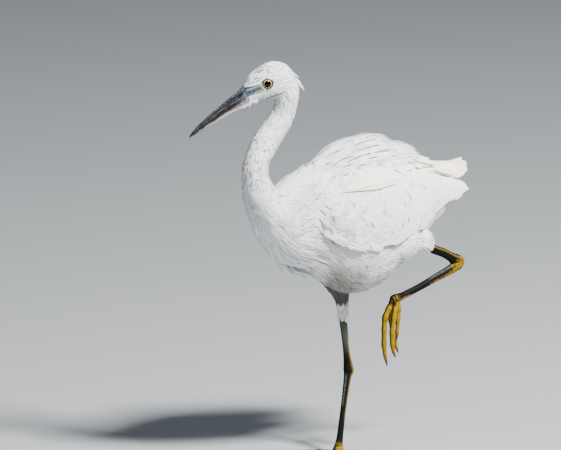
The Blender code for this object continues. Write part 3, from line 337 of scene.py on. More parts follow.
# Legs: x, y, z, half depth, half width from inside the body to the ankle's knob, then
# from the ankle to the foot.
LEGS = {
    "right": dict(
        up=(-1.0, 0.0, 0.0),
        toe_up=(0.0, 0.0, 1.0),
        upper=(
            (0.0060, 0.0100, 0.2100, 0.0230, 0.0190),
            (0.0080, 0.0102, 0.1900, 0.0180, 0.0160),
            (0.0112, 0.0104, 0.1740, 0.0090, 0.0084),
            (0.0132, 0.0102, 0.1600, 0.0058, 0.0052),
            (0.0138, 0.0100, 0.1470, 0.0048, 0.0042),
            (0.0152, 0.0094, 0.1310, 0.0041, 0.0035),
            (0.0170, 0.0086, 0.1120, 0.0038, 0.0034),
            (0.0186, 0.0080, 0.0985, 0.0050, 0.0045),
            (0.0194, 0.0077, 0.0915, 0.0060, 0.0053),
            (0.0199, 0.0074, 0.0862, 0.0046, 0.0040),
            (0.0201, 0.0072, 0.0848, 0.0012, 0.0012),
        ),
        lower=(
            (0.0187, 0.0074, 0.0880, 0.0052, 0.0046),
            (0.0168, 0.0068, 0.0800, 0.0042, 0.0037),
            (0.0125, 0.0052, 0.0600, 0.0035, 0.0031),
            (0.0080, 0.0034, 0.0390, 0.0034, 0.0030),
            (0.0038, 0.0016, 0.0190, 0.0037, 0.0034),
            (0.0018, 0.0008, 0.0105, 0.0048, 0.0046),
            (0.0008, 0.0003, 0.0040, 0.0068, 0.0066),
            (0.0010, 0.0004, -0.0012, 0.0068, 0.0066),
        ),
    ),
    "left": dict(
        up=(0.0, 0.0, 1.0),
        toe_up=(-1.0, 0.0, 0.0),
        upper=(
            (0.0280, -0.0350, 0.2440, 0.0230, 0.0170),
            (0.0520, -0.0385, 0.2390, 0.0205, 0.0180),
            (0.0740, -0.0380, 0.2350, 0.0160, 0.0140),
            (0.0890, -0.0352, 0.2292, 0.0105, 0.0090),
            (0.0955, -0.0340, 0.2254, 0.0055, 0.0050),
            (0.1040, -0.0340, 0.2208, 0.0050, 0.0042),
            (0.1150, -0.0340, 0.2164, 0.0050, 0.0042),
            (0.1250, -0.0340, 0.2108, 0.0054, 0.0047),
            (0.1335, -0.0340, 0.2052, 0.0076, 0.0056),
            (0.1386, -0.0340, 0.2018, 0.0058, 0.0046),
            (0.1402, -0.0340, 0.2006, 0.0014, 0.0014),
        ),
        lower=(
            (0.1300, -0.0340, 0.1994, 0.0058, 0.0050),
            (0.1217, -0.0340, 0.1958, 0.0052, 0.0043),
            (0.1030, -0.0340, 0.1890, 0.0044, 0.0036),
            (0.0839, -0.0340, 0.1818, 0.0040, 0.0034),
            (0.0640, -0.0340, 0.1752, 0.0040, 0.0037),
            (0.0570, -0.0340, 0.1732, 0.0046, 0.0046),
            (0.0508, -0.0340, 0.1712, 0.0056, 0.0060),
            (0.0470, -0.0340, 0.1690, 0.0030, 0.0034),
        ),
    ),
}
# Rows where the thigh and the tarsus end.
THIGH_END, TARSUS_END = 4, 5
# The standing foot's toes on the floor: heading from +X, joints as (distance, radius), claw length.
FLAT_TOES = {
    "middle": (176, ((0.002, 0.0036), (0.012, 0.0033), (0.024, 0.0033), (0.037, 0.0029),
                     (0.052, 0.0026), (0.066, 0.0019)), 0.0085),
    "outer": (136, ((0.002, 0.0034), (0.012, 0.0030), (0.021, 0.0030), (0.031, 0.0027),
                    (0.042, 0.0024), (0.053, 0.0018)), 0.0075),
    "inner": (222, ((0.002, 0.0034), (0.012, 0.0031), (0.022, 0.0029), (0.035, 0.0026),
                    (0.050, 0.0018)), 0.0078),
    "hind": (-24, ((0.002, 0.0034), (0.011, 0.0029), (0.020, 0.0027), (0.033, 0.0019)), 0.0095),
}
# The lifted foot's toes: x, y, z and radius.
HANGING_TOES = {
    "middle": ((0.0490, -0.0340, 0.1700, 0.0036), (0.0435, -0.0340, 0.1620, 0.0034),
               (0.0389, -0.0340, 0.1530, 0.0034), (0.0376, -0.0340, 0.1394, 0.0030),
               (0.0374, -0.0338, 0.1230, 0.0028), (0.0393, -0.0336, 0.1085, 0.0019),
               (0.0408, -0.0336, 0.1030, 0.0012), (0.0418, -0.0336, 0.0984, 0.0004)),
    "outer": ((0.0500, -0.0375, 0.1690, 0.0034), (0.0475, -0.0400, 0.1610, 0.0030),
              (0.0450, -0.0412, 0.1525, 0.0030), (0.0425, -0.0415, 0.1367, 0.0027),
              (0.0433, -0.0412, 0.1234, 0.0025), (0.0450, -0.0410, 0.1150, 0.0018),
              (0.0464, -0.0410, 0.1115, 0.0012), (0.0476, -0.0410, 0.1083, 0.0004)),
    "inner": ((0.0500, -0.0310, 0.1690, 0.0034), (0.0500, -0.0285, 0.1610, 0.0031),
              (0.0510, -0.0265, 0.1500, 0.0030), (0.0540, -0.0260, 0.1367, 0.0027),
              (0.0572, -0.0262, 0.1230, 0.0024), (0.0588, -0.0265, 0.1160, 0.0018),
              (0.0602, -0.0265, 0.1128, 0.0012), (0.0612, -0.0265, 0.1098, 0.0004)),
    "hind": ((0.0535, -0.0350, 0.1700, 0.0034), (0.0548, -0.0365, 0.1620, 0.0029),
             (0.0535, -0.0368, 0.1500, 0.0027), (0.0525, -0.0368, 0.1340, 0.0019),
             (0.0516, -0.0368, 0.1290, 0.0013), (0.0506, -0.0368, 0.1247, 0.0004)),
}
# The nodes that the one skin replaces.
FLESH = ["torso", "neck_lower", "neck_middle", "neck_upper", "head"]


def linear(code):
    """An sRGB hex colour as linear RGBA."""
    value = np.array([int(code[i:i + 2], 16) for i in (1, 3, 5)]) / 255
    value = np.where(value <= 0.04045, value / 12.92, ((value + 0.055) / 1.055) ** 2.4)
    return (*value.tolist(), 1.0)


def rgb(code):
    """An sRGB hex colour as a linear array of three."""
    return np.array(linear(code)[:3])


def painted(colour, over, amount):
    """Colour moved towards another, a hex code or an array, by an amount held to 0 to 1."""
    over = rgb(over) if isinstance(over, str) else over
    return colour + (over - colour) * np.clip(amount, 0, 1)[..., None]


def ease(t):
    """0 before 0, 1 after 1, and the smooth cubic step 3t^2 - 2t^3 between them."""
    t = np.clip(t, 0, 1)
    return t * t * (3 - 2 * t)


def between(value, low, high, soft):
    """1 between low and high, eased to 0 over a band as wide as soft round each."""
    return ease((value - low) / soft + 0.5) * ease((high - value) / soft + 0.5)


def bell(value, centre, width):
    """The bell curve, 1 at its centre and 1/e at width from it."""
    return np.exp(-(((value - centre) / width) ** 2))


def unit(v):
    """Vectors divided by their lengths."""
    return v / np.maximum(np.linalg.norm(v, axis=-1, keepdims=True), 1e-12)


def table(at, pairs):
    """Values read at any positions from straight lines through (position, value) pairs."""
    return np.interp(at, *np.array(pairs).T)


def through(at, rows, xs=None):
    """Rows read at any positions from the cubic Hermite curve through them.

    Slopes at the rows are the mean slopes of their neighbours.
    """
    rows = np.asarray(rows, float)
    xs = np.arange(len(rows), dtype=float) if xs is None else np.asarray(xs, float)
    slope = np.gradient(rows, xs, axis=0)
    at = np.clip(np.asarray(at, float), xs[0], xs[-1])
    i = np.clip(np.searchsorted(xs, at, side="right") - 1, 0, len(xs) - 2)
    h = (xs[i + 1] - xs[i])[..., None]
    u = (at - xs[i])[..., None] / h
    return (
        (2 * u**3 - 3 * u**2 + 1) * rows[i]
        + (u**3 - 2 * u**2 + u) * h * slope[i]
        + (3 * u**2 - 2 * u**3) * rows[i + 1]
        + (u**3 - u**2) * h * slope[i + 1]
    )


def ripple(points, wavelength, rng):
    """A smooth random value from -1 to 1: a sum of sines in random directions."""
    waves = rng.standard_normal((5, 3)) * 2 * math.pi / wavelength / 1.7
    phase = rng.uniform(0, 2 * math.pi, 5)
    return np.sin(points @ waves.T + phase).sum(-1) / 3


def patches(points, wavelength, rng, low, soft):
    """Random patches: a ripple from 0 to 1, eased from 0 at low to 1 at low plus soft."""
    return ease((0.5 + 0.5 * ripple(points, wavelength, rng) - low) / soft)


def rings(stations, columns):
    """Two grids: the stations, and evenly spaced angles round each of them."""
    angles = np.linspace(0, 2 * math.pi, columns, endpoint=False)
    return np.meshgrid(stations, angles, indexing="ij")


def turned(points, angle):
    """Points of the head's side view, turned about the top of the neck."""
    x, y = points[..., 0] - HEAD_PIVOT_X, points[..., 1] - MID_Y
    c, s = np.cos(angle), np.sin(angle)
    return np.stack([HEAD_PIVOT_X + x * c - y * s, MID_Y + x * s + y * c, points[..., 2]], -1)


def trunk_side_view(t, around, lift):
    """Egg sections: half height along a tilted axis, half width across, both plus lift."""
    row = through(t + RUMP_STATIONS, TRUNK)
    centre = (row[..., 0:2] + row[..., 2:4]) / 2
    half = (row[..., 0:2] - row[..., 2:4]) / 2
    half = half * (1 + lift / np.linalg.norm(half, axis=-1))[..., None]
    height = np.cos(around)
    across = (row[..., 4] + lift) * np.sin(around) * (1 + row[..., 5] * height)
    x, z = (centre[..., k] + half[..., k] * height for k in (0, 1))
    return np.stack([x, MID_Y + across, z], -1)


def trunk(back, around, lift):
    """The trunk's surface. back runs from the bill (-24) to the tail (4)."""
    back, around, lift = np.broadcast_arrays(np.asarray(back, float), around, lift)
    angle = HEAD_TURN * ease((-back - TURN_FROM) / (TURN_TO - TURN_FROM))
    return turned(trunk_side_view(-back, around, lift), angle)


def side_view(t, around):
    """(x, z) of the skin in the head's own side view."""
    points = trunk_side_view(np.asarray(t, float), around, np.asarray(0.0))
    return points[..., 0], points[..., 2]


def along_segment(x, z, a, b):
    """Share of the way along segment ab, and signed distance to its upper side."""
    a, b = np.array(a), np.array(b)
    length = np.linalg.norm(b - a)
    d = (b - a) / length
    along = ((x - a[0]) * d[0] + (z - a[1]) * d[1]) / length
    off = -(x - a[0]) * d[1] + (z - a[1]) * d[0]
    return along, off if d[0] > 0 else -off


def bare_face(t, around):
    """1 on the bare lore between eye and bill, 0 on feathers."""
    side = ease((np.abs(np.sin(around)) - 0.35) / 0.2)
    along, off = along_segment(*side_view(t, around), *LORE_LINE)
    top = np.interp(along, (0, 0.45, 1.0), (0.0056, 0.0040, 0.0032))
    low = np.interp(along, (0, 0.5, 1.0), (-0.0052, -0.0044, -0.0044))
    return side * between(along, -0.4, 0.92, 0.12) * between(off, low, top, 0.0012) * (t > 19)


def jaw_crease(t, around):
    """1 along the soft crease from the cheek back under the ear, 0 away from it."""
    along, off = along_segment(*side_view(t, around), *JAW_LINE)
    return bell(off, 0.0, 0.0007) * between(along, 0.0, 1.0, 0.25) * (np.abs(np.sin(around)) > 0.5)


def coat_depth(t, around):
    """How deep the coat lies on the skin: by station, and none on the bare face."""
    return table(t, COAT_DEPTH) * MM * (1 - bare_face(t, around))


def flank_row(x):
    """The flank's half width, top, bottom and egg at x."""
    return through(x, FLANK, FLANK_X)


def wing_row(x):
    """The folded wing's sizes at x, as in WING without its x."""
    return through(x, WING[:, 1:], WING[:, 0])


def wing_top(edge, width):
    """The turn at which a half width reaches the wing's upper edge."""
    return np.arcsin(np.clip(edge / width, 0, 1))


def wing_edge(x):
    """The turn of the folded wing's lower edge at x."""
    return np.radians(table(x, WING_EDGE))


def flank_lift(x, turn):
    """How far the wing stands off the flank: eased from back to side, then to the edge."""
    row = wing_row(x)
    over = row[..., 2] + (row[..., 3] - row[..., 2]) * ease(turn / HUMP_UNTIL)
    edge = np.radians(row[..., 1])
    under = np.clip((turn - EDGE_FROM) / (edge - EDGE_FROM), 0, 1)
    return over + (row[..., 4] - row[..., 3]) * under


def wing_surface(side, back_cover=BACK_COVER):
    """The surface of one folded wing as a function of x, turn from the ridge, and lift.

    It is the flank's egg section, lifted by the wing's height and by its coverts.
    """

    def surface(x, turn, lift):
        """Points at x and turn, lifted over the coverts."""
        x, turn, lift = np.broadcast_arrays(np.asarray(x, float), turn, lift)
        row = flank_row(x)
        degrees = np.degrees(turn)
        over = table(degrees, COVER) * table(x, COVER_SHARE)
        over = over + table(x, back_cover) * (1 - ease((degrees - 26) / 24))
        # In front the shoulder sinks level with the body.
        sunk = (1 - ease((x + 0.036) / 0.034)) * (1 - ease((degrees - 52) / 26))
        over = over - SHOULDER_SINK * sunk * ease(degrees / 22)
        lift = lift + flank_lift(x, turn) + over * MM
        c = np.cos(turn)
        y = (row[..., 0] + lift) * np.sin(turn) * (1 + row[..., 3] * c)
        z = (row[..., 1] + row[..., 2]) / 2 + ((row[..., 1] - row[..., 2]) / 2 + lift) * c
        return np.stack([x, MID_Y + side * y, z], -1)

    return surface


def under_wing(points):
    """True where a wing lies over the body, well inside its edges."""
    x, z = points[..., 0], points[..., 2]
    row = flank_row(x)
    c = (z - (row[..., 1] + row[..., 2]) / 2) / ((row[..., 1] - row[..., 2]) / 2)
    turn = np.degrees(np.arccos(np.clip(c, -1, 1)))
    return (x > -0.048) & (x < 0.105) & (turn < wing_row(x)[..., 1] - 14)


def limb_surface(rows, up):
    """A tube: rows hold x, y, z, half height and half width, read at t, angle and lift."""

    def surface(t, angle, lift):
        """Points at row t and an angle from the top, lifted off the tube."""
        t, angle, lift = np.broadcast_arrays(np.asarray(t, float), angle, lift)
        row = through(t, rows)
        along = unit(through(t + 0.01, rows)[..., :3] - through(t - 0.01, rows)[..., :3])
        side = unit(np.cross(np.broadcast_to(up, along.shape), along))
        top = np.cross(along, side)
        return (
            row[..., :3]
            + ((row[..., 3] + lift) * np.cos(angle))[..., None] * top
            + ((row[..., 4] + lift) * np.sin(angle))[..., None] * side
        )

    return surface


def head_limb(rows, up, deep, broad, offset=0.0):
    """A tube on the head: rows of x, z and radius in its side view, radius times deep and broad."""
    x, z, radius = np.array(rows).T
    spine = turned(np.stack([x, MID_Y + offset + 0 * x, z], -1), HEAD_TURN)
    return limb_surface(np.column_stack([spine, radius * deep, radius * broad]), up)


def local_frame(surface, p, q, lift):
    """Metres that each parameter is worth at points of a surface, the normal and slopes."""
    step = 1e-3
    here, above = surface(p, q, lift), surface(p, q, lift + step)
    along_p, along_q = surface(p + step, q, lift) - here, surface(p, q + step, lift) - here
    worth_p = np.maximum(np.linalg.norm(along_p, axis=-1) / step, 4e-4)
    worth_q = np.maximum(np.linalg.norm(along_q, axis=-1) / step, 2e-3)
    normal = np.cross(along_p, along_q)
    normal *= np.sign(np.einsum("...i,...i->...", normal, above - here))[..., None]
    flat = np.linalg.norm(normal, axis=-1, keepdims=True) < 1e-14
    normal = unit(np.where(flat, above - here, normal))
    return worth_p, worth_q, normal, along_p / step, along_q / step


def scattered(rng, count, low, high, density):
    """Roots on the trunk: (t, around) drawn so that each patch of skin has its share."""
    t = np.empty(0)
    a = np.empty(0)
    while len(t) < count:
        tt = rng.uniform(low, high, count * 2)
        aa = rng.uniform(0, 2 * math.pi, count * 2)
        flat = np.zeros(len(tt))
        _, _, _, dp, dq = local_frame(trunk, -tt, aa, flat)
        area = np.linalg.norm(np.cross(dp, dq), axis=-1)
        share = area / np.percentile(area, 98) * density(tt, aa, trunk(-tt, aa, flat))
        keep = rng.random(len(tt)) < share
        t, a = np.append(t, tt[keep]), np.append(a, aa[keep])
    return t[:count], a[:count]


def facing(points, faces):
    """Faces of equal closed pieces, turned round if together they are inside out.

    Their volume is a sixth of the sum of the corners' triple products.
    """
    halves = [f[:, [0, 2, 3]] for f in faces if f.shape[1] == 4]
    tris = np.concatenate([f[:, :3] for f in faces] + halves)
    p = points[:, tris] - points.mean(1)[:, None, None]
    volume = np.einsum("nij,nij->", p[:, :, 0], np.cross(p[:, :, 1], p[:, :, 2]))
    return faces if volume > 0 else [f[:, ::-1] for f in faces]


def repeated(faces, count, size):
    """The faces of one piece, for count pieces of size points each."""
    offset = (np.arange(count) * size)[:, None, None]
    return [(f[None] + offset).reshape(-1, f.shape[1]) for f in faces]


def new_mesh(name, points, faces, material, replaced=(), uv=None, tint=None, normals=None):
    """A piece from points and arrays of quads and triangles, riding on the bird."""
    points = np.asarray(points, np.float32).reshape(-1, 3)
    mesh = bpy.data.meshes.new(name)
    mesh.vertices.add(len(points))
    mesh.vertices.foreach_set("co", points.ravel())
    loops = np.concatenate([f.ravel() for f in faces]).astype(np.int32)
    totals = np.concatenate([np.full(len(f), f.shape[1]) for f in faces])
    starts = np.concatenate([[0], np.cumsum(totals)[:-1]]).astype(np.int32)
    mesh.loops.add(len(loops))
    mesh.loops.foreach_set("vertex_index", loops)
    mesh.polygons.add(len(starts))
    mesh.polygons.foreach_set("loop_start", starts)
    mesh.update(calc_edges=True)
    if uv is not None:
        layer = mesh.uv_layers.new(name="OFBake")
        layer.data.foreach_set("uv", np.asarray(uv, np.float32).reshape(-1, 2)[loops].ravel())
    for key, values in (tint or {}).items():
        values = np.asarray(values, np.float32).reshape(len(points), -1)
        rgba = np.ones((len(points), 4), np.float32)
        rgba[:, : values.shape[1]] = values
        layer = mesh.color_attributes.new(key, "FLOAT_COLOR", "POINT")
        layer.data.foreach_set("color", rgba.ravel())
    mesh.validate()
    mesh.shade_smooth()
    if normals is not None:
        normals = np.asarray(normals, np.float32).reshape(-1, 3)
        mesh.normals_split_custom_set_from_vertices(normals)
    mesh.materials.append(material)
    obj = bpy.data.objects.new(name, mesh)
    bpy.context.scene.collection.objects.link(obj)
    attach(obj, "root")
    if replaced:
        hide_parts(*replaced)


def tube_faces(rows, columns):
    """Quads of a tube of rows by columns that closes round, with a hub at each end."""
    r, c = np.meshgrid(np.arange(rows - 1), np.arange(columns), indexing="ij")
    a, b = r * columns + c, r * columns + (c + 1) % columns
    quads = np.stack([a, b, b + columns, a + columns], -1).reshape(-1, 4)
    c = np.arange(columns)
    first, last = rows * columns, rows * columns + 1
    start = np.stack([(c + 1) % columns, c, np.full(columns, first)], -1)
    end = (rows - 1) * columns
    finish = np.stack([end + c, end + (c + 1) % columns, np.full(columns, last)], -1)
    return [quads, np.concatenate([start, finish])]


def tube(name, grid, material, replaced, tint):
    """A closed tube from a grid of points, each end closed at the mean of its last ring."""
    closed = lambda g: np.concatenate([g.reshape(-1, g.shape[-1]), g[:1].mean(1), g[-1:].mean(1)])
    points = closed(grid)
    faces = facing(points[None], tube_faces(*grid.shape[:2]))
    tint = {key: closed(np.asarray(values, float)) for key, values in tint.items()}
    new_mesh(name, points, faces, material, replaced, tint=tint)


def spread(values):
    """Values stretched over 0.02 to 0.98."""
    return (values - values.min()) / max(np.ptp(values), 1e-9) * 0.96 + 0.02


def strand_template(rows):
    """A tapered three-sided strand: rows of left, ridge and right, then the tip."""
    quads = []
    for r in range(rows - 2):
        a = 3 * r
        quads += [(a, a + 1, a + 4, a + 3), (a + 1, a + 2, a + 5, a + 4), (a + 2, a, a + 3, a + 5)]
    a, tip = 3 * (rows - 2), 3 * (rows - 1)
    tris = [(a, a + 1, tip), (a + 1, a + 2, tip), (a + 2, a, tip), (0, 2, 1)]
    return [np.array(quads), np.array(tris)]


def feathers(name, surface, at, heading, length, width, low, high, material, rng,
             barbs=9, thick=0.0012, loose=1.0, shade=0.0, rows=3):
    """Soft feathers, each a fan of tapered barbs, that follow a surface from their roots.

    A barb's path is walked in a few steps along its heading, each step turned into the
    surface's two parameters by what they are worth there. Barbs leave the root side by
    side, spread, and run parallel at the end, the outer ones shorter; all rise from low
    to high. Shading normals are the surface's own, rounded across each barb.
    """
    n = len(at[0])
    wide = lambda v: np.repeat(np.broadcast_to(np.asarray(v, float), n)[:, None], barbs, 1)
    length, width, low, high, shade = map(wide, (length, width, low, high, shade))
    h, p, q = map(wide, (heading, *at))
    u = np.linspace(-1, 1, barbs)[None] + rng.uniform(-0.5, 0.5, (n, barbs)) / barbs
    noise = rng.standard_normal((3, n, barbs))
    reach = length * (1 - 0.24 * u**2 + 0.07 * loose * noise[0])
    splay = np.arctan(0.75 * width / length) * u
    turn = h + splay + 0.05 * loose * noise[1]
    worth_p, worth_q, _, _, _ = local_frame(surface, p, q, 0 * p)
    lateral, ahead = 0.20 * width * u, 0.10 * reach * (rng.random((n, barbs)) - 0.5)
    p = p + (ahead * np.cos(h) - lateral * np.sin(h)) / worth_p
    q = q + (ahead * np.sin(h) + lateral * np.cos(h)) / worth_q
    top = high - np.maximum(high, 0) * 0.30 * u**2 + 0.00012 * loose * noise[2]
    side = np.array([-0.5, 0.0, 0.5])
    points, normals = [], []
    stretch = np.linspace(0, 1, rows) ** 0.92
    taper = np.interp(stretch, (0.0, 0.4, 0.8), (0.75, 1.0, 0.75))
    for k in range(rows):
        if k:
            bend = turn - splay * stretch[k] * 1.3
            worth_p, worth_q, _, _, _ = local_frame(surface, p, q, low)
            step = reach * (stretch[k] - stretch[k - 1])
            p = p + step * np.cos(bend) / worth_p
            q = q + step * np.sin(bend) / worth_q
        lift = low + (top - low) * stretch[k] ** 0.8
        worth_p, worth_q, normal, dp, dq = local_frame(surface, p, q, lift)
        dp, dq = dp / worth_p[..., None], dq / worth_q[..., None]
        across = unit(-np.sin(turn)[..., None] * dp + np.cos(turn)[..., None] * dq)[:, :, None]
        centre, normal = surface(p, q, lift)[:, :, None], normal[:, :, None]
        if k == rows - 1:
            points.append(centre)
            normals.append(normal)
        else:
            broad = thick * taper[k]
            offset, ridge = (broad * side)[:, None], (0.16 * broad * (side == 0))[:, None]
            points.append(centre + offset * across + ridge * normal)
            normals.append(unit(normal + side[:, None] * across))
    points, normals = np.concatenate(points, 2), np.concatenate(normals, 2)
    size = points.shape[2]
    template = facing(points.reshape(-1, size, 3), strand_template(rows))
    level = np.concatenate([np.repeat(stretch[:-1], 3), [1.0]])[None, None]
    lateral = np.concatenate([np.tile(side, rows - 1), [0.0]])[None, None]
    tone = rng.random(n)[:, None] * 0.7 + 0.3 * rng.random((n, barbs)) + shade
    tone = np.clip(tone, 0, 1)[:, :, None]
    tint = np.stack(np.broadcast_arrays(level, np.abs(u)[:, :, None], tone), -1)
    uv = np.stack(np.broadcast_arrays(
        spread(at[1])[:, None, None] + (u[:, :, None] * 0.42 + lateral * 0.16) * TUFT_PATCH,
        spread(at[0])[:, None, None] + (level - 0.5) * TUFT_PATCH), -1)
    new_mesh(name, points, repeated(template, n * barbs, size), material, (), uv,
             {"feather": tint}, normals)


def strewn(name, surface, count, reach_p, reach_q, heading, length, width, low, rise,
           material, rng, **settings):
    """Feathers with roots, lengths and rises drawn evenly over ranges of a surface.

    The heading is a mean and its spread; a rise that isn't a range is the same for all.
    """
    draw = lambda pair: pair[0] + (pair[1] - pair[0]) * rng.random(count)
    at = draw(reach_p), draw(reach_q)
    turn = heading[0] + heading[1] * rng.standard_normal(count)
    size = draw(length)
    rise = draw(rise) if isinstance(rise, tuple) else rise
    feathers(name, surface, at, turn, size, width, low, rise, material, rng, **settings)


def tipped(name, surface, tips, count, length, width, rise, material, rng, **settings):
    """Feathers whose tips lie along a line of a surface; each root is its length in front."""
    share = rng.random(count) * (len(tips) - 1)
    p, q = (np.interp(share, np.arange(len(tips)), np.array(tips)[:, k]) for k in (0, 1))
    p, q = p + 0.08 * rng.standard_normal(count), q + 0.05 * rng.standard_normal(count)
    size = rng.uniform(*length, count)
    root = p - size / local_frame(surface, p, q, 0 * p)[0]
    heading = 0.10 * rng.standard_normal(count)
    feathers(name, surface, (root, q), heading, size, width, -0.0012,
             rng.uniform(*rise, count), material, rng, **settings)


def ribs(name, surface, lines, half, lift, code):
    """Slender ribs on a surface: an oval carried along each line, swelling and tapering."""
    rows, columns = 12, 8
    s = np.linspace(0, 1, rows)
    read = lambda line, k: table(s * (len(line) - 1), [(i, p[k]) for i, p in enumerate(line)])
    paths = np.array([[read(line, k) for line in lines] for k in (0, 1)])
    centre, above = surface(*paths, lift), surface(*paths, lift + 0.001)
    along = unit(np.gradient(centre, axis=1))
    across = unit(np.cross(above - centre, along))
    normal = np.cross(along, across)
    angle = np.linspace(0, 2 * math.pi, columns, endpoint=False)[:, None]
    swell = half * (0.12 + 0.88 * np.sqrt(4 * s * (1 - s)))[None, :, None, None]
    oval = np.cos(angle) * across[:, :, None] + 0.5 * np.sin(angle) * normal[:, :, None]
    grid = centre[:, :, None] + swell * oval
    n = len(lines)
    ends = grid[:, :1].mean(2), grid[:, -1:].mean(2)
    points = np.concatenate([grid.reshape(n, -1, 3), *ends], 1)
    size = points.shape[1]
    faces = repeated(facing(points, tube_faces(rows, columns)), n, size)
    uv = np.stack([spread(paths[1][:, 0]), spread(paths[0][:, 0])], -1)[:, None]
    corner = np.arange(size)
    uv = np.repeat(uv, size, 1) + TUFT_PATCH / 2 * np.stack([np.cos(corner), np.sin(corner)], -1)
    matt = plain_material(name + ", matt", code, 0.85)
    new_mesh(name, points, faces, matt, (), uv)


def marks(prefix, surface, groups, unit_angle=1.0):
    """Ribs for every group of marks, each piece named for its kind."""
    for kind, code, half, lift, lines in groups:
        lines = [tuple((p, q * unit_angle) for p, q in line) for line in lines]
        ribs(f"{prefix}_{kind.replace(' ', '_')}", surface, lines, half, lift, code)


def vane_template(rows, columns):
    """A closed leaf: an upper and a lower sheet that share their border."""
    upper = np.arange(rows * columns).reshape(rows, columns)
    lower = upper.copy()
    inner = lower[1:-1, 1:-1]
    lower[1:-1, 1:-1] = rows * columns + np.arange(inner.size).reshape(inner.shape)
    quads = []
    for sheet, step in ((upper, 1), (lower, -1)):
        corners = sheet[:-1, :-1], sheet[:-1, 1:], sheet[1:, 1:], sheet[1:, :-1]
        quads.append(np.stack(corners, -1).reshape(-1, 4)[:, ::step])
    return np.concatenate(quads)


def vanes(name, surface, tips, heading, length, width, low, high, material, rng,
          tilt=0.03, replaced=(), blunt=0.45, end=0.10):
    """Broad feathers that end at their tips: a grid of along and across on a surface.

    Width follows a leaf's outline; a quill ridge runs down the middle, one side lies a
    little lower so that the next feather covers it, and the margin is slightly ragged.
    """
    rows, columns, thickness = 16, 9, 0.0004
    p, q = (v[:, None, None] for v in tips)
    n = len(p)
    cell = lambda v: np.broadcast_to(np.asarray(v, float), n)[:, None, None]
    heading, length, width, low, high = map(cell, (heading, length, width, low, high))
    worth_p, worth_q, _, _, _ = local_frame(surface, p, q, 0 * p)
    s = np.linspace(0, 1, rows) ** 0.8
    outline = np.clip(1 - s, 0, 1) ** (0.42 * blunt) * (1 - 0.2 * s**6)
    outline = np.minimum(1, 0.35 + 1.5 * s) * outline
    outline[-1] = end
    S, U = s[None, :, None], np.linspace(-1, 1, columns)[None, None, :]
    ragged = 1 + 0.035 * rng.standard_normal((n, rows, 1)) * np.abs(U) ** 3 * (S > 0.2)
    w = width / 2 * outline[None, :, None] * U * ragged
    frayed = 1 + 0.012 * rng.standard_normal((n, 1, columns)) * S**4
    back = length * (1 - S * (1 - 0.05 * U**2 * S**3) * frayed)
    sway = 0.12 * rng.standard_normal(n)[:, None, None] * width * S**2
    c, d = np.cos(heading), np.sin(heading)
    pp = p + (-back * c - (w + sway) * d) / worth_p
    qq = q + (-back * d + (w + sway) * c) / worth_q
    lift = low + (high - low) * S**1.1 + tilt * w
    lift = lift - 0.00035 * U**2 * S + 0.00012 * bell(U, 0.0, 0.14) * (1 - S)
    grid = surface(pp, qq, lift)
    under = surface(pp, qq, lift - thickness * (1 - U**2) * (1 - 0.5 * S))
    normal = local_frame(surface, pp, qq, lift)[2]
    real = np.cross(np.gradient(grid, axis=1), np.gradient(grid, axis=2))
    real = unit(real * np.sign(np.einsum("...i,...i->...", real, normal))[..., None])
    normal = unit(0.45 * normal + 0.55 * real)
    inner = lambda g: g[:, 1:-1, 1:-1].reshape(n, -1, 3)
    points = np.concatenate([grid.reshape(n, -1, 3), inner(under)], 1)
    normals = np.concatenate([normal.reshape(n, -1, 3), -inner(normal)], 1)
    faces = repeated(facing(points, [vane_template(rows, columns)]), n, points.shape[1])
    flat = lambda g: np.concatenate([g.reshape(-1), g[1:-1, 1:-1].reshape(-1)])
    level, lateral = map(flat, np.broadcast_arrays(S[0], U[0]))
    tone = rng.random(n)[:, None]
    tint = np.stack(np.broadcast_arrays(level[None], np.abs(lateral)[None], tone), -1)
    uv = np.stack([spread(q[:, 0]) * 0.94 + 0.03 + lateral * 0.008,
                   spread(p[:, 0]) * 0.94 + 0.03 + (level - 0.5) * 0.016], -1)
    new_mesh(name, points, faces, material, replaced, uv, {"feather": tint}, normals)


def node(tree, kind, inputs=None, **settings):
    """Adds one node with its settings, values and links."""
    made = tree.nodes.new(kind)
    for key, value in settings.items():
        setattr(made, key, value)
    for key, value in (inputs or {}).items():
        socket = made.inputs[key]
        if isinstance(value, bpy.types.NodeSocket):
            tree.links.new(value, socket)
        else:
            socket.default_value = value
    return made


def maths(tree, how, a, b=0.0, c=0.0, clamp=False):
    """One maths node's value."""
    made = node(tree, "ShaderNodeMath", {0: a, 1: b, 2: c}, operation=how, use_clamp=clamp)
    return made.outputs[0]


def blend(tree, factor, a, b, how="MIX"):
    """Colour a mixed with colour b by a factor."""
    made = node(tree, "ShaderNodeMix", data_type="RGBA", blend_type=how)
    for key, value in (("Factor", factor), ("A", a), ("B", b)):
        kind = "VALUE" if key == "Factor" else "RGBA"
        socket = next(s for s in made.inputs if s.name == key and s.type == kind)
        if isinstance(value, bpy.types.NodeSocket):
            tree.links.new(value, socket)
        else:
            socket.default_value = value
    return next(s for s in made.outputs if s.type == "RGBA")


def noise(tree, place, scale, detail):
    """Smooth noise from 0 to 1, its scale in waves per metre."""
    inputs = {"Vector": place, "Scale": scale, "Detail": detail}
    return node(tree, "ShaderNodeTexNoise", inputs).outputs[0]


def parts_of(tree, vector):
    """The three parts of a vector."""
    return node(tree, "ShaderNodeSeparateXYZ", {0: vector}).outputs


def blank(name):
    """A new material that uses nodes."""
    made = bpy.data.materials.new(name)
    made.use_nodes = True
    return made


def attribute(made, name):
    """What an attribute of the mesh gives in a material."""
    return node(made.node_tree, "ShaderNodeAttribute", attribute_name=name).outputs


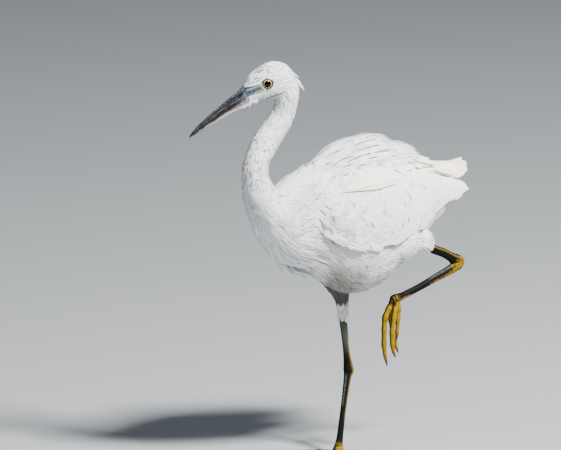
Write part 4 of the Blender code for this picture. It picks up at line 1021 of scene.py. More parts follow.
def begin(name, kind):
    """A new material, its tree, one attribute of the mesh and Object coordinates."""
    made = blank(name)
    place = node(made.node_tree, "ShaderNodeTexCoord").outputs["Object"]
    return made, made.node_tree, attribute(made, kind), place


def finish(made, colour, roughness, specular, bump=None, **more):
    """Gives a material's shader its colour, constants and bump of height, strength, distance."""
    tree = made.node_tree
    shader = tree.nodes["Principled BSDF"]
    tree.links.new(colour, shader.inputs["Base Color"])
    shader.inputs["Roughness"].default_value = roughness
    shader.inputs["Specular IOR Level"].default_value = specular
    for key, value in more.items():
        shader.inputs[key.replace("_", " ")].default_value = value
    if bump:
        values = dict(zip(("Height", "Strength", "Distance"), bump))
        tree.links.new(node(tree, "ShaderNodeBump", values).outputs[0], shader.inputs["Normal"])
    return made


def feather_material(name, base, cream, shadow, barb):
    """White contour feathers: keratin barbs full of air, matt, faintly sheened at a graze."""
    made, tree, data, place = begin(name, "feather")
    # A point's place in its feather: from the root, off the quill, and the feather's tone.
    level, lateral, tone = parts_of(tree, data["Vector"])
    height = parts_of(tree, place)[2]
    # Cream gathers low on the bird and on its feathers' edges.
    low = maths(tree, "MULTIPLY_ADD", height, -5.0, 1.9, True)
    warm = maths(tree, "MULTIPLY_ADD", noise(tree, place, 28.0, 3.0), 0.5, -0.15)
    warm = maths(tree, "ADD", warm, maths(tree, "MULTIPLY", low, 0.30), 0.0, True)
    warm = maths(tree, "MULTIPLY_ADD", tone, 0.18, warm, True)
    colour = blend(tree, warm, linear(base), linear(cream))
    # Painted shade: towards their roots, under the feathers above, the vanes go to the shadow grey.
    root = maths(tree, "SUBTRACT", 1.0, maths(tree, "MULTIPLY", level, 2.2, 0.0, True))
    colour = blend(tree, maths(tree, "MULTIPLY", root, 0.30), colour, linear(shadow))
    edge = maths(tree, "POWER", lateral, 8.0)
    colour = blend(tree, maths(tree, "MULTIPLY", edge, 0.30), colour, linear(cream))
    # Here and there the vane splits between two barbs; the shade in each split is painted
    # as a short slanting dark dash.
    turn = {"Vector": place, "Rotation": (0.0, math.radians(35), 0.0)}
    slanted = node(tree, "ShaderNodeMapping", turn).outputs[0]
    stretch = {"Vector": slanted, "Scale": (260.0, 90.0, 44.0)}
    slanted = node(tree, "ShaderNodeMapping", stretch).outputs[0]
    split_shade = maths(tree, "MULTIPLY_ADD", noise(tree, slanted, 1.0, 1.0), 16.0, -10.6, True)
    colour = blend(tree, maths(tree, "MULTIPLY", split_shade, 0.75), colour, linear("#7F7A72"))
    # Barbs run out and back from the quill; drawn about 1 mm apart so that they show.
    along = maths(tree, "MULTIPLY", level, barb)
    wave = maths(tree, "SINE", maths(tree, "MULTIPLY_ADD", lateral, -barb * 0.22, along))
    return finish(made, colour, 0.82, 0.25, (wave, 0.12, 0.0003), Sheen_Weight=0.25,
                  Sheen_Roughness=0.5)


def strand_material(name, base, cool, shadow, stain_and_shade="#8B8075"):
    """Loose downy barbs: soft white, a little greyer at the roots where light doesn't reach."""
    made, tree, data, place = begin(name, "feather")
    level, _, tone = parts_of(tree, data["Vector"])
    ahead, _, height = parts_of(tree, place)
    # Painted shade: bluish grey in patches, by each feather's tone, which carries any shade given
    # it, and by a broad noise.
    broad = maths(tree, "MULTIPLY_ADD", noise(tree, place, 45.0, 2.0), 0.9, -0.48, True)
    mixed = maths(tree, "MULTIPLY_ADD", maths(tree, "POWER", tone, 3.0), 0.8, broad, True)
    colour = blend(tree, mixed, linear(base), linear(cool))
    # Low on the belly and thighs the colour goes browner, partly stain and mostly painted
    # shade, darkest behind the breast's fringe where its shadow falls.
    low = maths(tree, "MULTIPLY_ADD", height, -34.0, 7.05, True)
    ahead = maths(tree, "MULTIPLY_ADD", ahead, -22.0, 0.38, True)
    ahead = maths(tree, "MULTIPLY", ahead, maths(tree, "MULTIPLY_ADD", height, -60.0, 13.55, True))
    low = maths(tree, "ADD", maths(tree, "MULTIPLY", low, 0.75), ahead, 0.0, True)
    low = maths(tree, "MULTIPLY", low, maths(tree, "MULTIPLY_ADD", tone, 0.45, 0.50, True))
    colour = blend(tree, low, colour, linear(stain_and_shade))
    root = maths(tree, "SUBTRACT", 1.0, maths(tree, "MULTIPLY", level, 2.4, 0.0, True))
    colour = blend(tree, maths(tree, "MULTIPLY", root, 0.35), colour, linear(shadow))
    return finish(made, colour, 0.85, 0.2, Sheen_Weight=0.2)


def skin_material(name, mottled):
    """Bare or downy skin coloured by its own map of markings, with a fine crepe of pores."""
    made, tree, data, place = begin(name, "markings")
    mottle = maths(tree, "MULTIPLY_ADD", noise(tree, place, 420.0, 2.0), 0.5, -0.1, True)
    colour = blend(tree, mottle, data["Color"], linear(mottled), "MULTIPLY")
    return finish(made, colour, 0.55, 0.35, (noise(tree, place, 1400.0, 3.0), 0.3, 0.0003))


def scale_material(name, roughness):
    """Scaled skin of leg and toe: glossy scutes with matt, darker seams between them."""
    made, tree, data, place = begin(name, "markings")
    mottle = maths(tree, "MULTIPLY_ADD", noise(tree, place, 650.0, 3.0), 1.2, -0.45, True)
    colour = blend(tree, mottle, data["Color"], linear("#8A6A20"), "MULTIPLY")
    cells = {"Vector": place, "Scale": 900.0}
    cells = node(tree, "ShaderNodeTexVoronoi", cells, feature="DISTANCE_TO_EDGE").outputs[0]
    return finish(made, colour, roughness, 0.12, (cells, 0.35, 0.0005))


def horn_material(name, roughness):
    """Horn sheath: satin keratin, coloured by its markings, with fine growth lines."""
    made, tree, data, place = begin(name, "markings")
    fine = noise(tree, place, 900.0, 2.0)
    return finish(made, data["Color"], roughness, 0.3, (fine, 0.15, 0.0002), IOR=1.54,
                  Coat_Weight=0.08, Coat_Roughness=0.3)


def plain_material(name, code, roughness):
    """One even colour and roughness, so that nothing draws the eye to it."""
    made = blank(name)
    shader = made.node_tree.nodes["Principled BSDF"]
    shader.inputs["Base Color"].default_value = linear(code)
    shader.inputs["Roughness"].default_value = roughness
    return made


def layered(grid, code, layers):
    """One colour for every point, with others laid over it in turn, each by its amount."""
    colour = rgb(code) + 0 * grid
    for over, amount in layers:
        colour = painted(colour, over, amount)
    return colour


def make_skin(settings):
    """One skin from tail to bill under the feathers, hollowed behind the eyes."""
    stations = np.concatenate([
        np.linspace(-4, 9.5, 100), np.linspace(9.6, 15, 50), np.linspace(15.05, LAST_STATION, 190)])
    t, a = rings(stations, 180)
    x, z = side_view(t, a)
    r = np.hypot(x - EYE_AT[0], z - EYE_AT[1])
    on_side = (np.abs(np.sin(a)) > 0.5) & (t > 18)
    hollow = 3.4 * MM * ease((0.0064 - r) / 0.0018) * on_side
    grid = trunk(-t, a, -coat_depth(t, a) - hollow)
    bare = bare_face(t, a)
    along, off = along_segment(x, z, *LORE_LINE)
    rng = np.random.default_rng(SEED + 5)
    fine = 0.5 + 0.5 * ripple(grid, 0.0016, rng)
    spots = patches(grid, 0.0026, rng, 0.35, 0.3)
    streaky = patches(grid * np.array([0.35, 1.0, 1.0]), 0.0011, rng, 0.25, 0.4)
    # From the top down: a dark edge, a pale yellow stripe, a spotted slate band, then
    # yellow-green under the eye.
    line = bell(off, 0.0040, 0.0012) * between(along, -0.5, 0.90, 0.15)
    pale = bell(off - 0.0008 * along, 0.0014, 0.0007) * between(along, 0.1, 1.0, 0.25)
    slate = bell(off, -0.0012, 0.0017) * between(along, -0.6, 0.66, 0.2)
    lower = bell(off, -0.0036, 0.0010) * between(along, -0.6, 0.35, 0.2)
    green = bell(off, -0.0034, 0.0010) * between(along, 0.42, 1.1, 0.2)
    to_horn = bare * ease((0.06 - along) / 0.25)
    speck = lambda dx, dz: bell(np.hypot(x - EYE_AT[0] - dx, z - EYE_AT[1] - dz), 0.0, 0.0007)
    colour = layered(grid, settings.skin, (
        (settings.lore, bare),
        ("#1F2733", 0.9 * line * bare * (0.6 + 0.4 * fine)),
        ("#D5D6A2", (0.35 + 0.65 * fine) * pale * bare),
        ("#101828", (0.35 + 0.65 * streaky) * slate * bare),
        ("#2B3646", 0.55 * streaky * spots * bare),
        ("#46566A", 0.8 * spots * lower * bare),
        ("#A9AC44", (0.35 + 0.5 * fine) * green * bare),
        # Where the skin turns to horn it goes lilac-grey with dark specks.
        ("#8790A6", 0.6 * to_horn),
        ("#232B3A", 0.8 * to_horn * spots),
        ("#9EA69A", 0.9 * ease((0.0072 - r) / 0.0008) * on_side),
        ("#20242A", 0.9 * speck(0.0005, -0.0072) * on_side),
        ("#20242A", 0.9 * speck(0.0028, -0.0066) * on_side),
    ))
    crepe = skin_material("bird skin, crepe grained", "#D8D4CE")
    tube("skin", grid, crepe, FLESH, {"markings": colour})


def make_body_feathers(settings):
    """Loose feathers over neck, breast, belly and rump; short ones over the head."""
    rng = np.random.default_rng(SEED)
    white, root = settings.white, settings.shade
    down = strand_material("down, loose white barbs", white, settings.cool, root)
    anywhere = lambda t, a, p: np.ones(len(t))
    on_body = lambda t, a, p: np.where(under_wing(p), 0.0, 1.0)

    def face(t, a, p):
        """1 on the head's feathers, 0 on its bare skin and the eye."""
        x, z = side_view(t, a)
        return (1 - bare_face(t, a)) * (np.hypot(x - EYE_AT[0], z - EYE_AT[1]) > 0.0068)

    where = {"anywhere": anywhere, "body": on_body, "face": face}
    for name, count, barbs, reach, place, length, width, thick, tip, droop in REGIONS:
        t, a = scattered(rng, count, *reach, where[place])
        depth = coat_depth(t, a) + 0.3 * MM
        here = trunk(-t, a, 0 * t)
        heading = 0.10 * rng.standard_normal(count) + 0.20 * ripple(here, 0.03, rng)
        heading += droop * np.where(a < math.pi, 1, -1) * np.abs(np.sin(a))
        size = rng.uniform(*length, count) * np.interp(t, (20, 24), (1.0, 0.5))
        # Short and close in the crook between neck and back.
        crook = between(t, 4.5, 10.0, 1.5) * ease(np.cos(a) / 0.5)
        size *= 1 - 0.5 * crook
        rise = rng.uniform(*tip, count) + (tip[1] - tip[0]) * 0.8 * ripple(here, 0.016, rng)
        # Painted shade: bluish grey behind the breast's fringe, in the jaw's crease and in streaks
        # over the forehead.
        crease = jaw_crease(t, a)
        forehead = ease((t - 20.5) / 1.5) * (np.cos(a) > 0.1)
        behind = between(here[:, 0], -0.062, -0.012, 0.02) * ease((0.222 - here[:, 2]) / 0.02)
        streaks = ease(0.5 + 1.2 * ripple(here, 0.006, rng))
        feathers(name, trunk, (-t, a), heading, size, width, -depth,
                 (rise - 1.2 * crook - 0.9 * crease) * MM, down, rng, barbs=barbs, thick=thick,
                 shade=0.6 * behind + 0.8 * crease + 0.7 * forehead * streaks - 0.12)
    # Frayed ends of the breast's long feathers hang free in front of the belly.
    plumes = strand_material("breast plumes, clean white", white, white, root, white)
    strewn("breast_fringe", trunk, 150, (-6.6, -8.2), (math.pi - 1, math.pi + 1), (0, 0.12),
           (0.022, 0.033), 0.008, -0.0010, (0.0003, 0.0030), plumes, rng, barbs=7, thick=0.0014,
           loose=1.8, rows=4)
    for name, side in (("left", 1), ("right", -1)):
        tips = [(p, side * q + (side < 0) * 2 * math.pi) for p, q in FRINGE_TIPS]
        tipped(f"breast_tips_{name}", trunk, tips, 110, (0.018, 0.028), 0.0034,
               (0.0012, 0.0050), plumes, rng, barbs=5, thick=0.0013, rows=4)
        tips = [(p, math.pi + side * q) for p, q in HANGING_TIPS]
        tipped(f"breast_spikes_{name}", trunk, tips, 46, (0.022, 0.030), 0.0024,
               (0.0060, 0.0130), plumes, rng, barbs=5, thick=0.0012, loose=0.7, rows=4)
    # Feathers of the breast's side run over the front of the folded wings.
    for name, side in SIDES:
        strewn(f"breast_side_{name}", trunk, 170, (-5.9, -8.4), (side * 0.55, side * 1.75),
               (side * 0.10, 0.10), (0.016, 0.025), 0.012, -0.0020, (0.0004, 0.0018), down, rng,
               barbs=11, thick=0.0016)
    forward = lambda t, a, lift: trunk(-t, a, lift)
    mirrored = lambda line: tuple((t, 2 * math.pi - a) for t, a in line)
    marks("body", forward, [
        (kind, *rest, lines if kind == "chin shade" else (*lines, *map(mirrored, lines)))
        for kind, *rest, lines in BODY_MARKS])
    # Blue-grey strokes of painted shade gather over the forehead.
    count = 64
    t, a = 23.7 - 3.0 * rng.random(count) ** 1.5, rng.uniform(-1.15, 1.15, count)
    reach, veer = rng.uniform(0.35, 0.8, count), 0.03 * rng.standard_normal(count)
    lines = [((t0, a0), (t0 - dt, a0 * 1.04 + da)) for t0, a0, dt, da in zip(t, a, reach, veer)]
    ribs("forehead_shade", forward, lines, 0.00042, -0.0009, "#8A98AE")
    limb = head_limb(CHIN, (0.0, 0.0, 1.0), 0.8, 0.95)
    strewn("chin_feathers", limb, 150, (0.0, 2.3), (0, 2 * math.pi), (0, 0.12), (0.004, 0.006),
           0.0026, -0.0008, (-0.0002, 0.0002), down, rng, barbs=6, thick=0.0007)
    strewn("chin_tuft", limb, 34, (0.9, 2.1), (math.pi - 1.2, math.pi + 1.2), (0, 0.4),
           (0.003, 0.005), 0.003, -0.0004, (0.0006, 0.0022), plumes, rng, barbs=6, thick=0.0007,
           loose=2.0)
    for index, (offset, rows) in enumerate(NAPE_PLUMES):
        limb = head_limb(rows, (1.0, 0.0, 1.0), 0.6, 1.0, offset)
        strewn(f"nape_plume_{index + 1}", limb, 16, (0, 0.5), (0, 2 * math.pi), (0, 0.05),
               (0.012, 0.025), 0.0018, -0.0004, 0.0, down, rng, barbs=6, thick=0.0009)


def make_wing_feathers(settings):
    """Both folded wings: a thin fleshy core, tiers of vanes, soft coverts and the mantle."""
    rng = np.random.default_rng(SEED + 1)
    white, root = settings.white, settings.shade
    feather = feather_material("contour feathers, white", white, settings.cream, root, 150.0)
    down = strand_material("wrist down, white barbs", white, settings.cool, root)
    mantle = strand_material("mantle plumes, blue-shaded white", white, "#97A6C0", root)
    for name, side in SIDES:
        surface = wing_surface(side)
        make_wing_core(name, side, surface, feather)
        make_tiers(name, surface, feather, rng)
        make_shoulder(name, surface, down, rng)
        marks(f"wing_{name}", surface, WING_MARKS, math.pi / 180)
        # Front of the mantle, then its two lobes, filled from below to their tops.
        count = 190
        x, turn = rng.uniform(-0.052, 0.022, count), np.radians(rng.uniform(1, 40, count))
        start = wing_top(wing_row(x)[:, 0], 0.05)
        # Painted shade: blue-grey streaks over the mantle's feathers.
        streak = ripple(surface(x * 0.3, turn, 0 * x), 0.010, rng)
        front = wing_surface(side, LOBES[0][0])
        heading = math.radians(6) + 0.08 * rng.standard_normal(count)
        size = rng.uniform(0.018, 0.027, count)
        feathers(f"wing_{name}_mantle", front, (x, np.maximum(turn, start)), heading, size, 0.012,
                 -0.0022, rng.uniform(-0.0006, 0.0007, count), mantle, rng, barbs=11,
                 thick=0.0015, shade=0.55 * streak)
        marks(f"wing_{name}", front, MANTLE_MARKS, math.pi / 180)
        for index, lobe in enumerate(LOBES):
            make_lobe(f"wing_{name}_lobe_{index + 1}", side, lobe, mantle, rng)


def make_wing_core(name, side, surface, material):
    """The fleshy core: an outer sheet and an inner one, from the ridge to the edge."""
    x, s = np.meshgrid(np.linspace(-0.064, 0.127, 80), np.linspace(0, 1, 44), indexing="ij")
    row = wing_row(x)
    start = wing_top(np.maximum(row[..., 0], 0.0004), flank_row(x)[..., 0] + RIDGE_MARGIN)
    turn = start + (np.minimum(np.radians(row[..., 1]), wing_edge(x)) - start) * s
    rim = 0.0012 * (1 - np.minimum(np.minimum(s, 1 - s) * 12, 1))
    outer = surface(x, turn, -0.0009 - rim)
    grid = np.concatenate([outer, surface(x, turn[:, ::-1], -0.0052 + rim)], 1)
    grid[:, :, 1] = MID_Y + side * np.maximum(side * (grid[:, :, 1] - MID_Y), 0.0002)
    tint = np.broadcast_to(SKIN_TINT, grid.shape)
    tube(f"wing_{name}_skin", grid, material, [f"wing_{name}"], {"feather": tint})


def make_tiers(name, surface, material, rng):
    """Rows of vanes along their lines of tips, changing evenly from the first to the last."""
    for index, (count, tips, heading, length, width, rise) in enumerate(TIERS):
        along = np.linspace(0, 1, count)
        tip = through(along * (len(tips) - 1), tips)
        jitter = rng.standard_normal((count, 2)) * (1.0 if index else 0.4)
        x = tip[:, 0] + 0.0012 * jitter[:, 0]
        turn = np.radians(tip[:, 1] + 0.6 * jitter[:, 1])
        mix = lambda pair: pair[0] + (pair[1] - pair[0]) * along
        angle = np.radians(mix(heading) + 2.0 * rng.standard_normal(count))
        high = rise[1] * MM * rng.uniform(0.7, 1.2, count)
        # No feather starts in front of the wing.
        size = np.minimum(mix(length), np.maximum((x + 0.063) / np.cos(angle), 0.010))
        shape = {"blunt": 0.45, "end": 0.10} if index else {"blunt": 0.32, "end": 0.35}
        vanes(f"wing_{name}_tier_{index + 1:02d}", surface, (x, turn), angle, size,
              mix(width) * rng.uniform(0.94, 1.10, count), rise[0] * MM, high, material, rng,
              **shape)


def make_shoulder(name, surface, material, rng):
    """Small soft coverts over the shoulder and the wrist, thinning out over the wing."""
    count = 900
    x = -0.069 + 0.112 * rng.random(count) ** 1.7
    start = wing_top(wing_row(x)[:, 0], flank_row(x)[:, 0] + RIDGE_MARGIN)
    share = np.clip((x + 0.069) / 0.085, 0, 1)
    end = wing_edge(x)
    part = rng.random(count) ** 0.85
    turn = start + (end - 0.06 - start) * part
    # From level at the ridge to the slope of the lower edge.
    level = math.radians(10)
    slope = np.arctan((wing_edge(x + 0.004) - end) / 0.004 * 0.05)
    heading = level + (slope - level) * ease(part * 1.1 - 0.1) + 0.07 * rng.standard_normal(count)
    patch = ease(0.6 + ripple(surface(x, turn, 0 * x), 0.012, rng))
    size = rng.uniform(0.012, 0.018, count)
    rise = rng.uniform(0.0002, 0.0008, count) * (1.1 - 0.6 * share)
    # Painted shade: blue-grey patches low over the wrist, fewer further back.
    shade = 0.8 * ease(part * 2.2 - 1.1) * (1 - share) ** 0.5 * patch - 0.3 * share
    feathers(f"wing_{name}_shoulder", surface, (x, turn), heading, size, 0.009, -0.0012, rise,
             material, rng, barbs=10, thick=0.0014, shade=shade)


def make_lobe(name, side, lobe, material, rng):
    """One lobe of the mantle: its tips lie on a bow, lower ones further forward."""
    cover, tip, reach, length, depth = lobe
    surface = wing_surface(side, cover)
    count = 110
    below = rng.random(count) ** 1.4
    size = rng.uniform(*length, count)
    turn = np.radians(rng.uniform(*reach, count))
    round_back = np.degrees(turn) / reach[1]
    bow = 0.5 * round_back**2 + 0.6 * (2 * below - 0.8) ** 2
    end = tip[1] - (tip[1] - tip[0]) * bow + 0.0035 * rng.standard_normal(count) * round_back
    # Painted shade: blue-grey streaks, deeper on the lower feathers under the lobe.
    streak = ripple(surface(end * 0.3, turn, 0 * end), 0.010, rng)
    heading = 0.06 * rng.standard_normal(count) - 0.02
    feathers(name, surface, (end - size, turn), heading, size, 0.013,
             -0.0025 - 0.6 * depth * below, -1.15 * depth * below, material, rng, barbs=12,
             thick=0.0015, shade=0.55 * streak + 0.2 * below)


def make_tail_feathers(settings):
    """Ten tail feathers, fanned like a low roof, and the coverts over their roots."""
    rng = np.random.default_rng(SEED + 2)
    white, root = settings.white, settings.shade
    cream = feather_material("tail feathers, cream white", settings.cream, "#E6D9BE", root, 170.0)
    soft = feather_material("tail coverts, white", white, settings.cream, root, 150.0)

    def fan(p, q, lift):
        """The roof: p runs from its root to its end, q from its right side to its left."""
        p, q, lift = np.broadcast_arrays(p, q, lift)
        angle = math.radians(15) * q
        reach = p * 0.050 * (1 - 0.08 * q**2)
        x = 0.106 + reach * np.cos(angle)
        y = MID_Y + 0.0045 * q + reach * np.sin(angle)
        z = 0.3080 + p * (0.0068 - 0.011 * q**2) - 0.0045 * np.abs(q) + lift
        return np.stack([x, y, z], -1)

    count = 10
    tips = 1 - 0.10 * rng.random(count)
    vanes("tail_feathers", fan, (tips, np.linspace(-1, 1, count)), 0.0, 0.046, 0.0180, 0.0,
          0.0008 * rng.uniform(0.2, 1.8, count), cream, rng, tilt=0.0, replaced=["tail"],
          blunt=0.26, end=0.5)
    for index, (count, t, reach) in enumerate(TAIL_COVERTS):
        a = np.linspace(-reach, reach, count) + 0.04 * rng.standard_normal(count)
        back = -t + 0.12 * rng.standard_normal(count)
        heading = 0.04 * rng.standard_normal(count)
        vanes(f"tail_coverts_{index + 1}", trunk, (back, a), heading, 0.026, 0.0125, -0.0010,
              rng.uniform(0.0002, 0.0010, count), soft, rng, tilt=0.0)


def make_bill(settings):
    """Upper and lower mandible with culmen ridge, nostrils and pale mouth edge."""
    horn = horn_material("bill horn, satin", 0.44)
    t, a = rings(np.linspace(0, len(BILL) - 1, 220), 80)
    row = through(t, BILL)
    top, chin = row[..., 0:2], row[..., 2:4]
    axis = unit(top - chin)
    bite = chin + (top - chin) * row[..., 5:6]
    share = t / (len(BILL) - 1)
    rng = np.random.default_rng(SEED + 3)
    s = np.sin(a)

    def streaks(across, along):
        """Fine streaks: sums of sines that change slowly along the horn and fast across."""
        waves = rng.uniform(0.4, 1.0, (6, 2)) * (across, along)
        phase = rng.uniform(0, 2 * math.pi, 6)
        turns = s[..., None] * waves[:, 0] + share[..., None] * waves[:, 1] + phase
        return np.clip(np.sin(turns).sum(-1) / 4 + 0.5, 0, 1)

    # 1 at the bill's base, 0 from its reach on.
    near_base = lambda reach, soft: ease((reach - share) / soft)
    for name, sign in (("upper", 1), ("lower", -1)):
        upper = sign > 0
        height = np.linalg.norm((top if upper else chin) - bite, axis=-1)
        rise = np.where(s > 0, height * np.abs(s) ** 0.85, -0.00015)
        half = row[..., 4] * np.cos(a) * (1.0 if upper else 0.92)
        nostril = bell(share, 0.20, 0.050) * bell(s, 0.55, 0.11) * upper
        groove = bell(s, 0.60, 0.12) * between(share, 0.02, 0.60, 0.2) * upper
        half = half * (1 - 0.30 * nostril - 0.06 * groove)
        point = bite + sign * (0.0002 + rise[..., None]) * axis
        grid = turned(np.stack([point[..., 0], MID_Y + half, point[..., 1]], -1), HEAD_TURN)
        fine, broad, brown = streaks(46, 26), streaks(14, 14), streaks(44, 16)
        lengthwise = np.stack([share * 0.010, rise, half], -1)
        dark_lines = patches(lengthwise, 0.0011, rng, 0.30, 0.35)
        spots = patches(grid, 0.0028, rng, 0.3, 0.35)
        if upper:
            # Painted highlight: blue-grey along the culmen's ridge, broken by fine streaks and
            # fading to the tip.
            ridge = bell(s, 0.90, 0.10) * np.interp(share, (0, 0.6, 1), (1, 0.85, 0.3))
            flank = bell(s, 0.45, 0.20) * between(share, 0.12, 0.90, 0.2)
            colour = layered(grid, settings.horn, (
                ("#76839A", ridge * (0.1 + 0.9 * fine)),
                ("#83746F", 0.75 * flank * ease(brown * 2.6 - 1.0)),
                ("#8C95AA", (0.45 + 0.55 * broad) * near_base(0.30, 0.28) * 0.9),
                (settings.lore, 0.8 * near_base(0.22, 0.18)),
                ("#A9B6C4", 0.7 * fine * near_base(0.24, 0.2)),
                ("#1B2433", 0.65 * spots * near_base(0.34, 0.2) * ease((share - 0.01) / 0.1)
                 * (s < 0.93)),
                ("#07060B", 0.85 * dark_lines * between(share, 0.14, 0.93, 0.14)),
                # Painted shade: near black in the nostril and along the groove.
                ("#050408", 0.95 * nostril + 0.5 * groove * (share > 0.1)),
            ))
        else:
            dark = np.interp(share, (0, 0.42, 0.62, 0.8, 1), (0.0, 0.05, 0.35, 0.75, 0.8))
            bitten = ease(1.5 - s * 2.6) * np.interp(share, (0, 0.15, 0.35), (0.1, 0.6, 1))
            low_base = ease(1.4 - s * 2.0) * near_base(0.3, 0.2)
            colour = layered(grid, settings.horn_pale, (
                ("#6F7A90", 0.8 * low_base * (0.4 + 0.6 * spots)),
                (settings.horn, dark + bitten * 0.95 + 0.2 * (fine - 0.5) * (share > 0.2)),
                ("#8C8F99", 0.65 * (1 - dark_lines) * bitten * (s > 0.12)),
                ("#1A1820", 0.7 * spots * near_base(0.42, 0.2) * ease(1.2 - s * 1.8)),
                ("#EADCD2", 0.7 * broad * near_base(0.45, 0.3) * (s > 0.5)),
            ))
        colour = painted(colour, "#B19A7C", ease((share - 0.95) / 0.05) * 0.8)
        tube(f"bill_{name}_horn", grid, horn, [f"bill_{name}"], {"markings": colour})


def make_eyes(settings):
    """Wet eyes with iris and pupil, and a ring of bare skin round each."""
    wet = blank("eye, wet cornea over iris")
    colour = attribute(wet, "markings")["Color"]
    finish(wet, colour, 0.12, 0.15, Coat_Weight=0.12, Coat_Roughness=0.02)
    lid_skin = skin_material("eyelid skin, bare", "#DAD4C4")
    stops = np.array([s for s, _ in IRIS])
    colours = np.array([rgb(code) for _, code in IRIS])
    polar = np.concatenate([np.linspace(0.02, 1.05, 80), np.linspace(1.1, math.pi - 0.02, 24)])
    for name, side in SIDES:
        p, a = rings(polar, 72)
        radius = EYE_RADIUS * (1 + 0.035 * bell(p, 0.0, 0.45))
        grid = np.stack([
            EYE_AT[0] + radius * np.sin(p) * np.cos(a),
            MID_Y + side * (EYE_OUT + radius * np.cos(p)),
            EYE_AT[1] + radius * np.sin(p) * np.sin(a)], -1)
        away = EYE_RADIUS * np.sin(np.minimum(p, math.pi / 2)) / 0.0054
        away = away * (1 + 0.02 * np.sin(a * 9) * np.sin(a * 4 + 1))
        colour = np.stack([np.interp(away, stops, colours[:, k]) for k in range(3)], -1)
        tube(f"eyeball_{name}", turned(grid, HEAD_TURN), wet, [f"eye_{name}"],
             {"markings": colour})
        # The lids: a ring round the eye, drawn out to a corner in front.
        around, over = rings(np.linspace(0, 2 * math.pi, LID[0], endpoint=False), LID[1])
        front = bell(np.cos(around - math.radians(214)), 1.0, 0.12)
        opening = 0.0056 * (1 + 0.28 * front)
        thick = 0.00070 * (1 - 0.2 * front)
        ring = opening + thick * np.cos(over)
        out = np.sqrt(np.maximum(EYE_RADIUS**2 - opening**2, 0)) + 0.0003
        out = out + thick * np.sin(over) * 1.3
        grid = turned(np.stack([
            EYE_AT[0] + ring * np.cos(around),
            MID_Y + side * (EYE_OUT + out),
            EYE_AT[1] + ring * 0.96 * np.sin(around)], -1), HEAD_TURN)
        index = np.arange(LID[0] * LID[1]).reshape(LID)
        ahead, beside = np.roll(index, -1, 0), np.roll(index, -1, 1)
        quads = np.stack([index, beside, np.roll(ahead, -1, 1), ahead], -1).reshape(-1, 4)
        inside = ease((-np.cos(over) + 0.75) / 0.5)
        colour = layered(grid, settings.lid, (
            ("#8794A2", ease((np.cos(around - 0.6) + 0.35) / 0.6)),
            ("#4E545A", 0.8 * ease((np.cos(over) - 0.45) / 0.4)),
            ("#060504", 1.3 * front + inside),
        ))
        points = grid.reshape(-1, 3)
        new_mesh(f"eyelids_{name}", points, facing(points[None], [quads]), lid_skin,
                 tint={"markings": colour})


def make_limb(name, rows, up, start, end, sides, steps, pitch, paint, material, replaced,
              floor=False):
    """A scaled tube with transverse scutes in front and small scales behind."""
    surface = limb_surface(rows, up)
    t, a = rings(np.linspace(start, end, steps), sides)
    centre = through(t[:, 0], rows)[:, :3]
    reach = np.cumsum(np.linalg.norm(np.diff(centre, axis=0), axis=1))
    length = np.concatenate([[0], reach])[:, None] + 0 * a
    seam = bell((length / pitch % 1.0 - 0.5) % 1.0, 0.5, 0.15)
    front = ease((np.cos(a) + 0.25) / 0.5)
    waves = np.sin(length / pitch * 2 * math.pi * 1.7 + 3 * np.sin(a * 5))
    small = 0.5 + 0.5 * waves * np.cos(a * 6)
    lift = 0.00022 * ((1 - seam) * front + small * (1 - front)) - 0.00022
    grid = surface(t, a, lift)
    if floor:
        grid[..., 2] = np.maximum(grid[..., 2], 0.0)
    colour = paint(length / length.max(), a, front, seam, small)
    tube(name, grid, material, replaced, {"markings": colour})


def leg_paint(kind, black, yellow):
    """The colours of one length of leg: black, with its yellow streaks, dashes and ends."""

    def paint(share, a, front, seam, small):
        """Colour by share of the length, angle from the front, seams and small scales."""
        # Painted highlight: a row of pale grey glints along the upper side of each leg's upper
        # half.
        glint = ease((np.cos(share * 230) - 0.2) / 0.5) * bell(np.cos(a - 0.6), 1.0, 0.03)
        base = rgb(black) + 0 * share[..., None]
        base = painted(base, "#8A92A0", 0.7 * glint * between(share, 0.04, 0.45, 0.1))
        back = 1 - ease((np.cos(a) + 0.45) / 0.5)
        ragged = 0.05 * np.sin(a * 7) + 0.03 * np.sin(share * 90)
        if kind == "tibia_left":
            stripe = bell(np.cos(a + 0.95), 1.0, 0.018) * (0.75 + 0.25 * small)
            amount = np.maximum(stripe, ease((share + ragged - 0.80) / 0.10))
        elif kind == "tarsus_left":
            dashes = np.where(share > 0.20, 1 - 0.85 * (np.sin(share * 170) > 0.35), 1.0)
            amount = back * ease((0.50 - share - ragged) / 0.04) * dashes
            amount = np.maximum(amount, ease((0.10 - share - ragged) / 0.08) * 0.9)
            amount = np.maximum(amount, back * ease((share + ragged - 0.84) / 0.05))
        elif kind == "tibia_right":
            amount = 0.85 * back * ease((share - 0.36) / 0.2)
        else:
            amount = np.maximum(back, 1 - ease(np.abs(np.cos(a + 0.6) + 1) / 0.35))
            amount = 0.80 * amount * ease((0.75 - share) / 0.2)
            amount = np.maximum(amount, ease((share - 0.94) / 0.05) * 0.7)
        tone = rgb(yellow) + 0 * base
        tone = painted(tone, BROWN, 0.9 * seam * (0.35 + 0.65 * front) + 0.45 * (small < 0.3))
        # Painted shade: on the standing leg, under the body, the yellow goes olive and the upper
        # shin grey-green.
        if kind.endswith("right"):
            tone = painted(tone, "#2E300E", 0.25 + 0 * share)
        if kind == "tibia_right":
            base = painted(base, "#3C443A", 0.75 * ease((0.75 - share) / 0.3))
        return painted(base, tone, amount)

    return paint


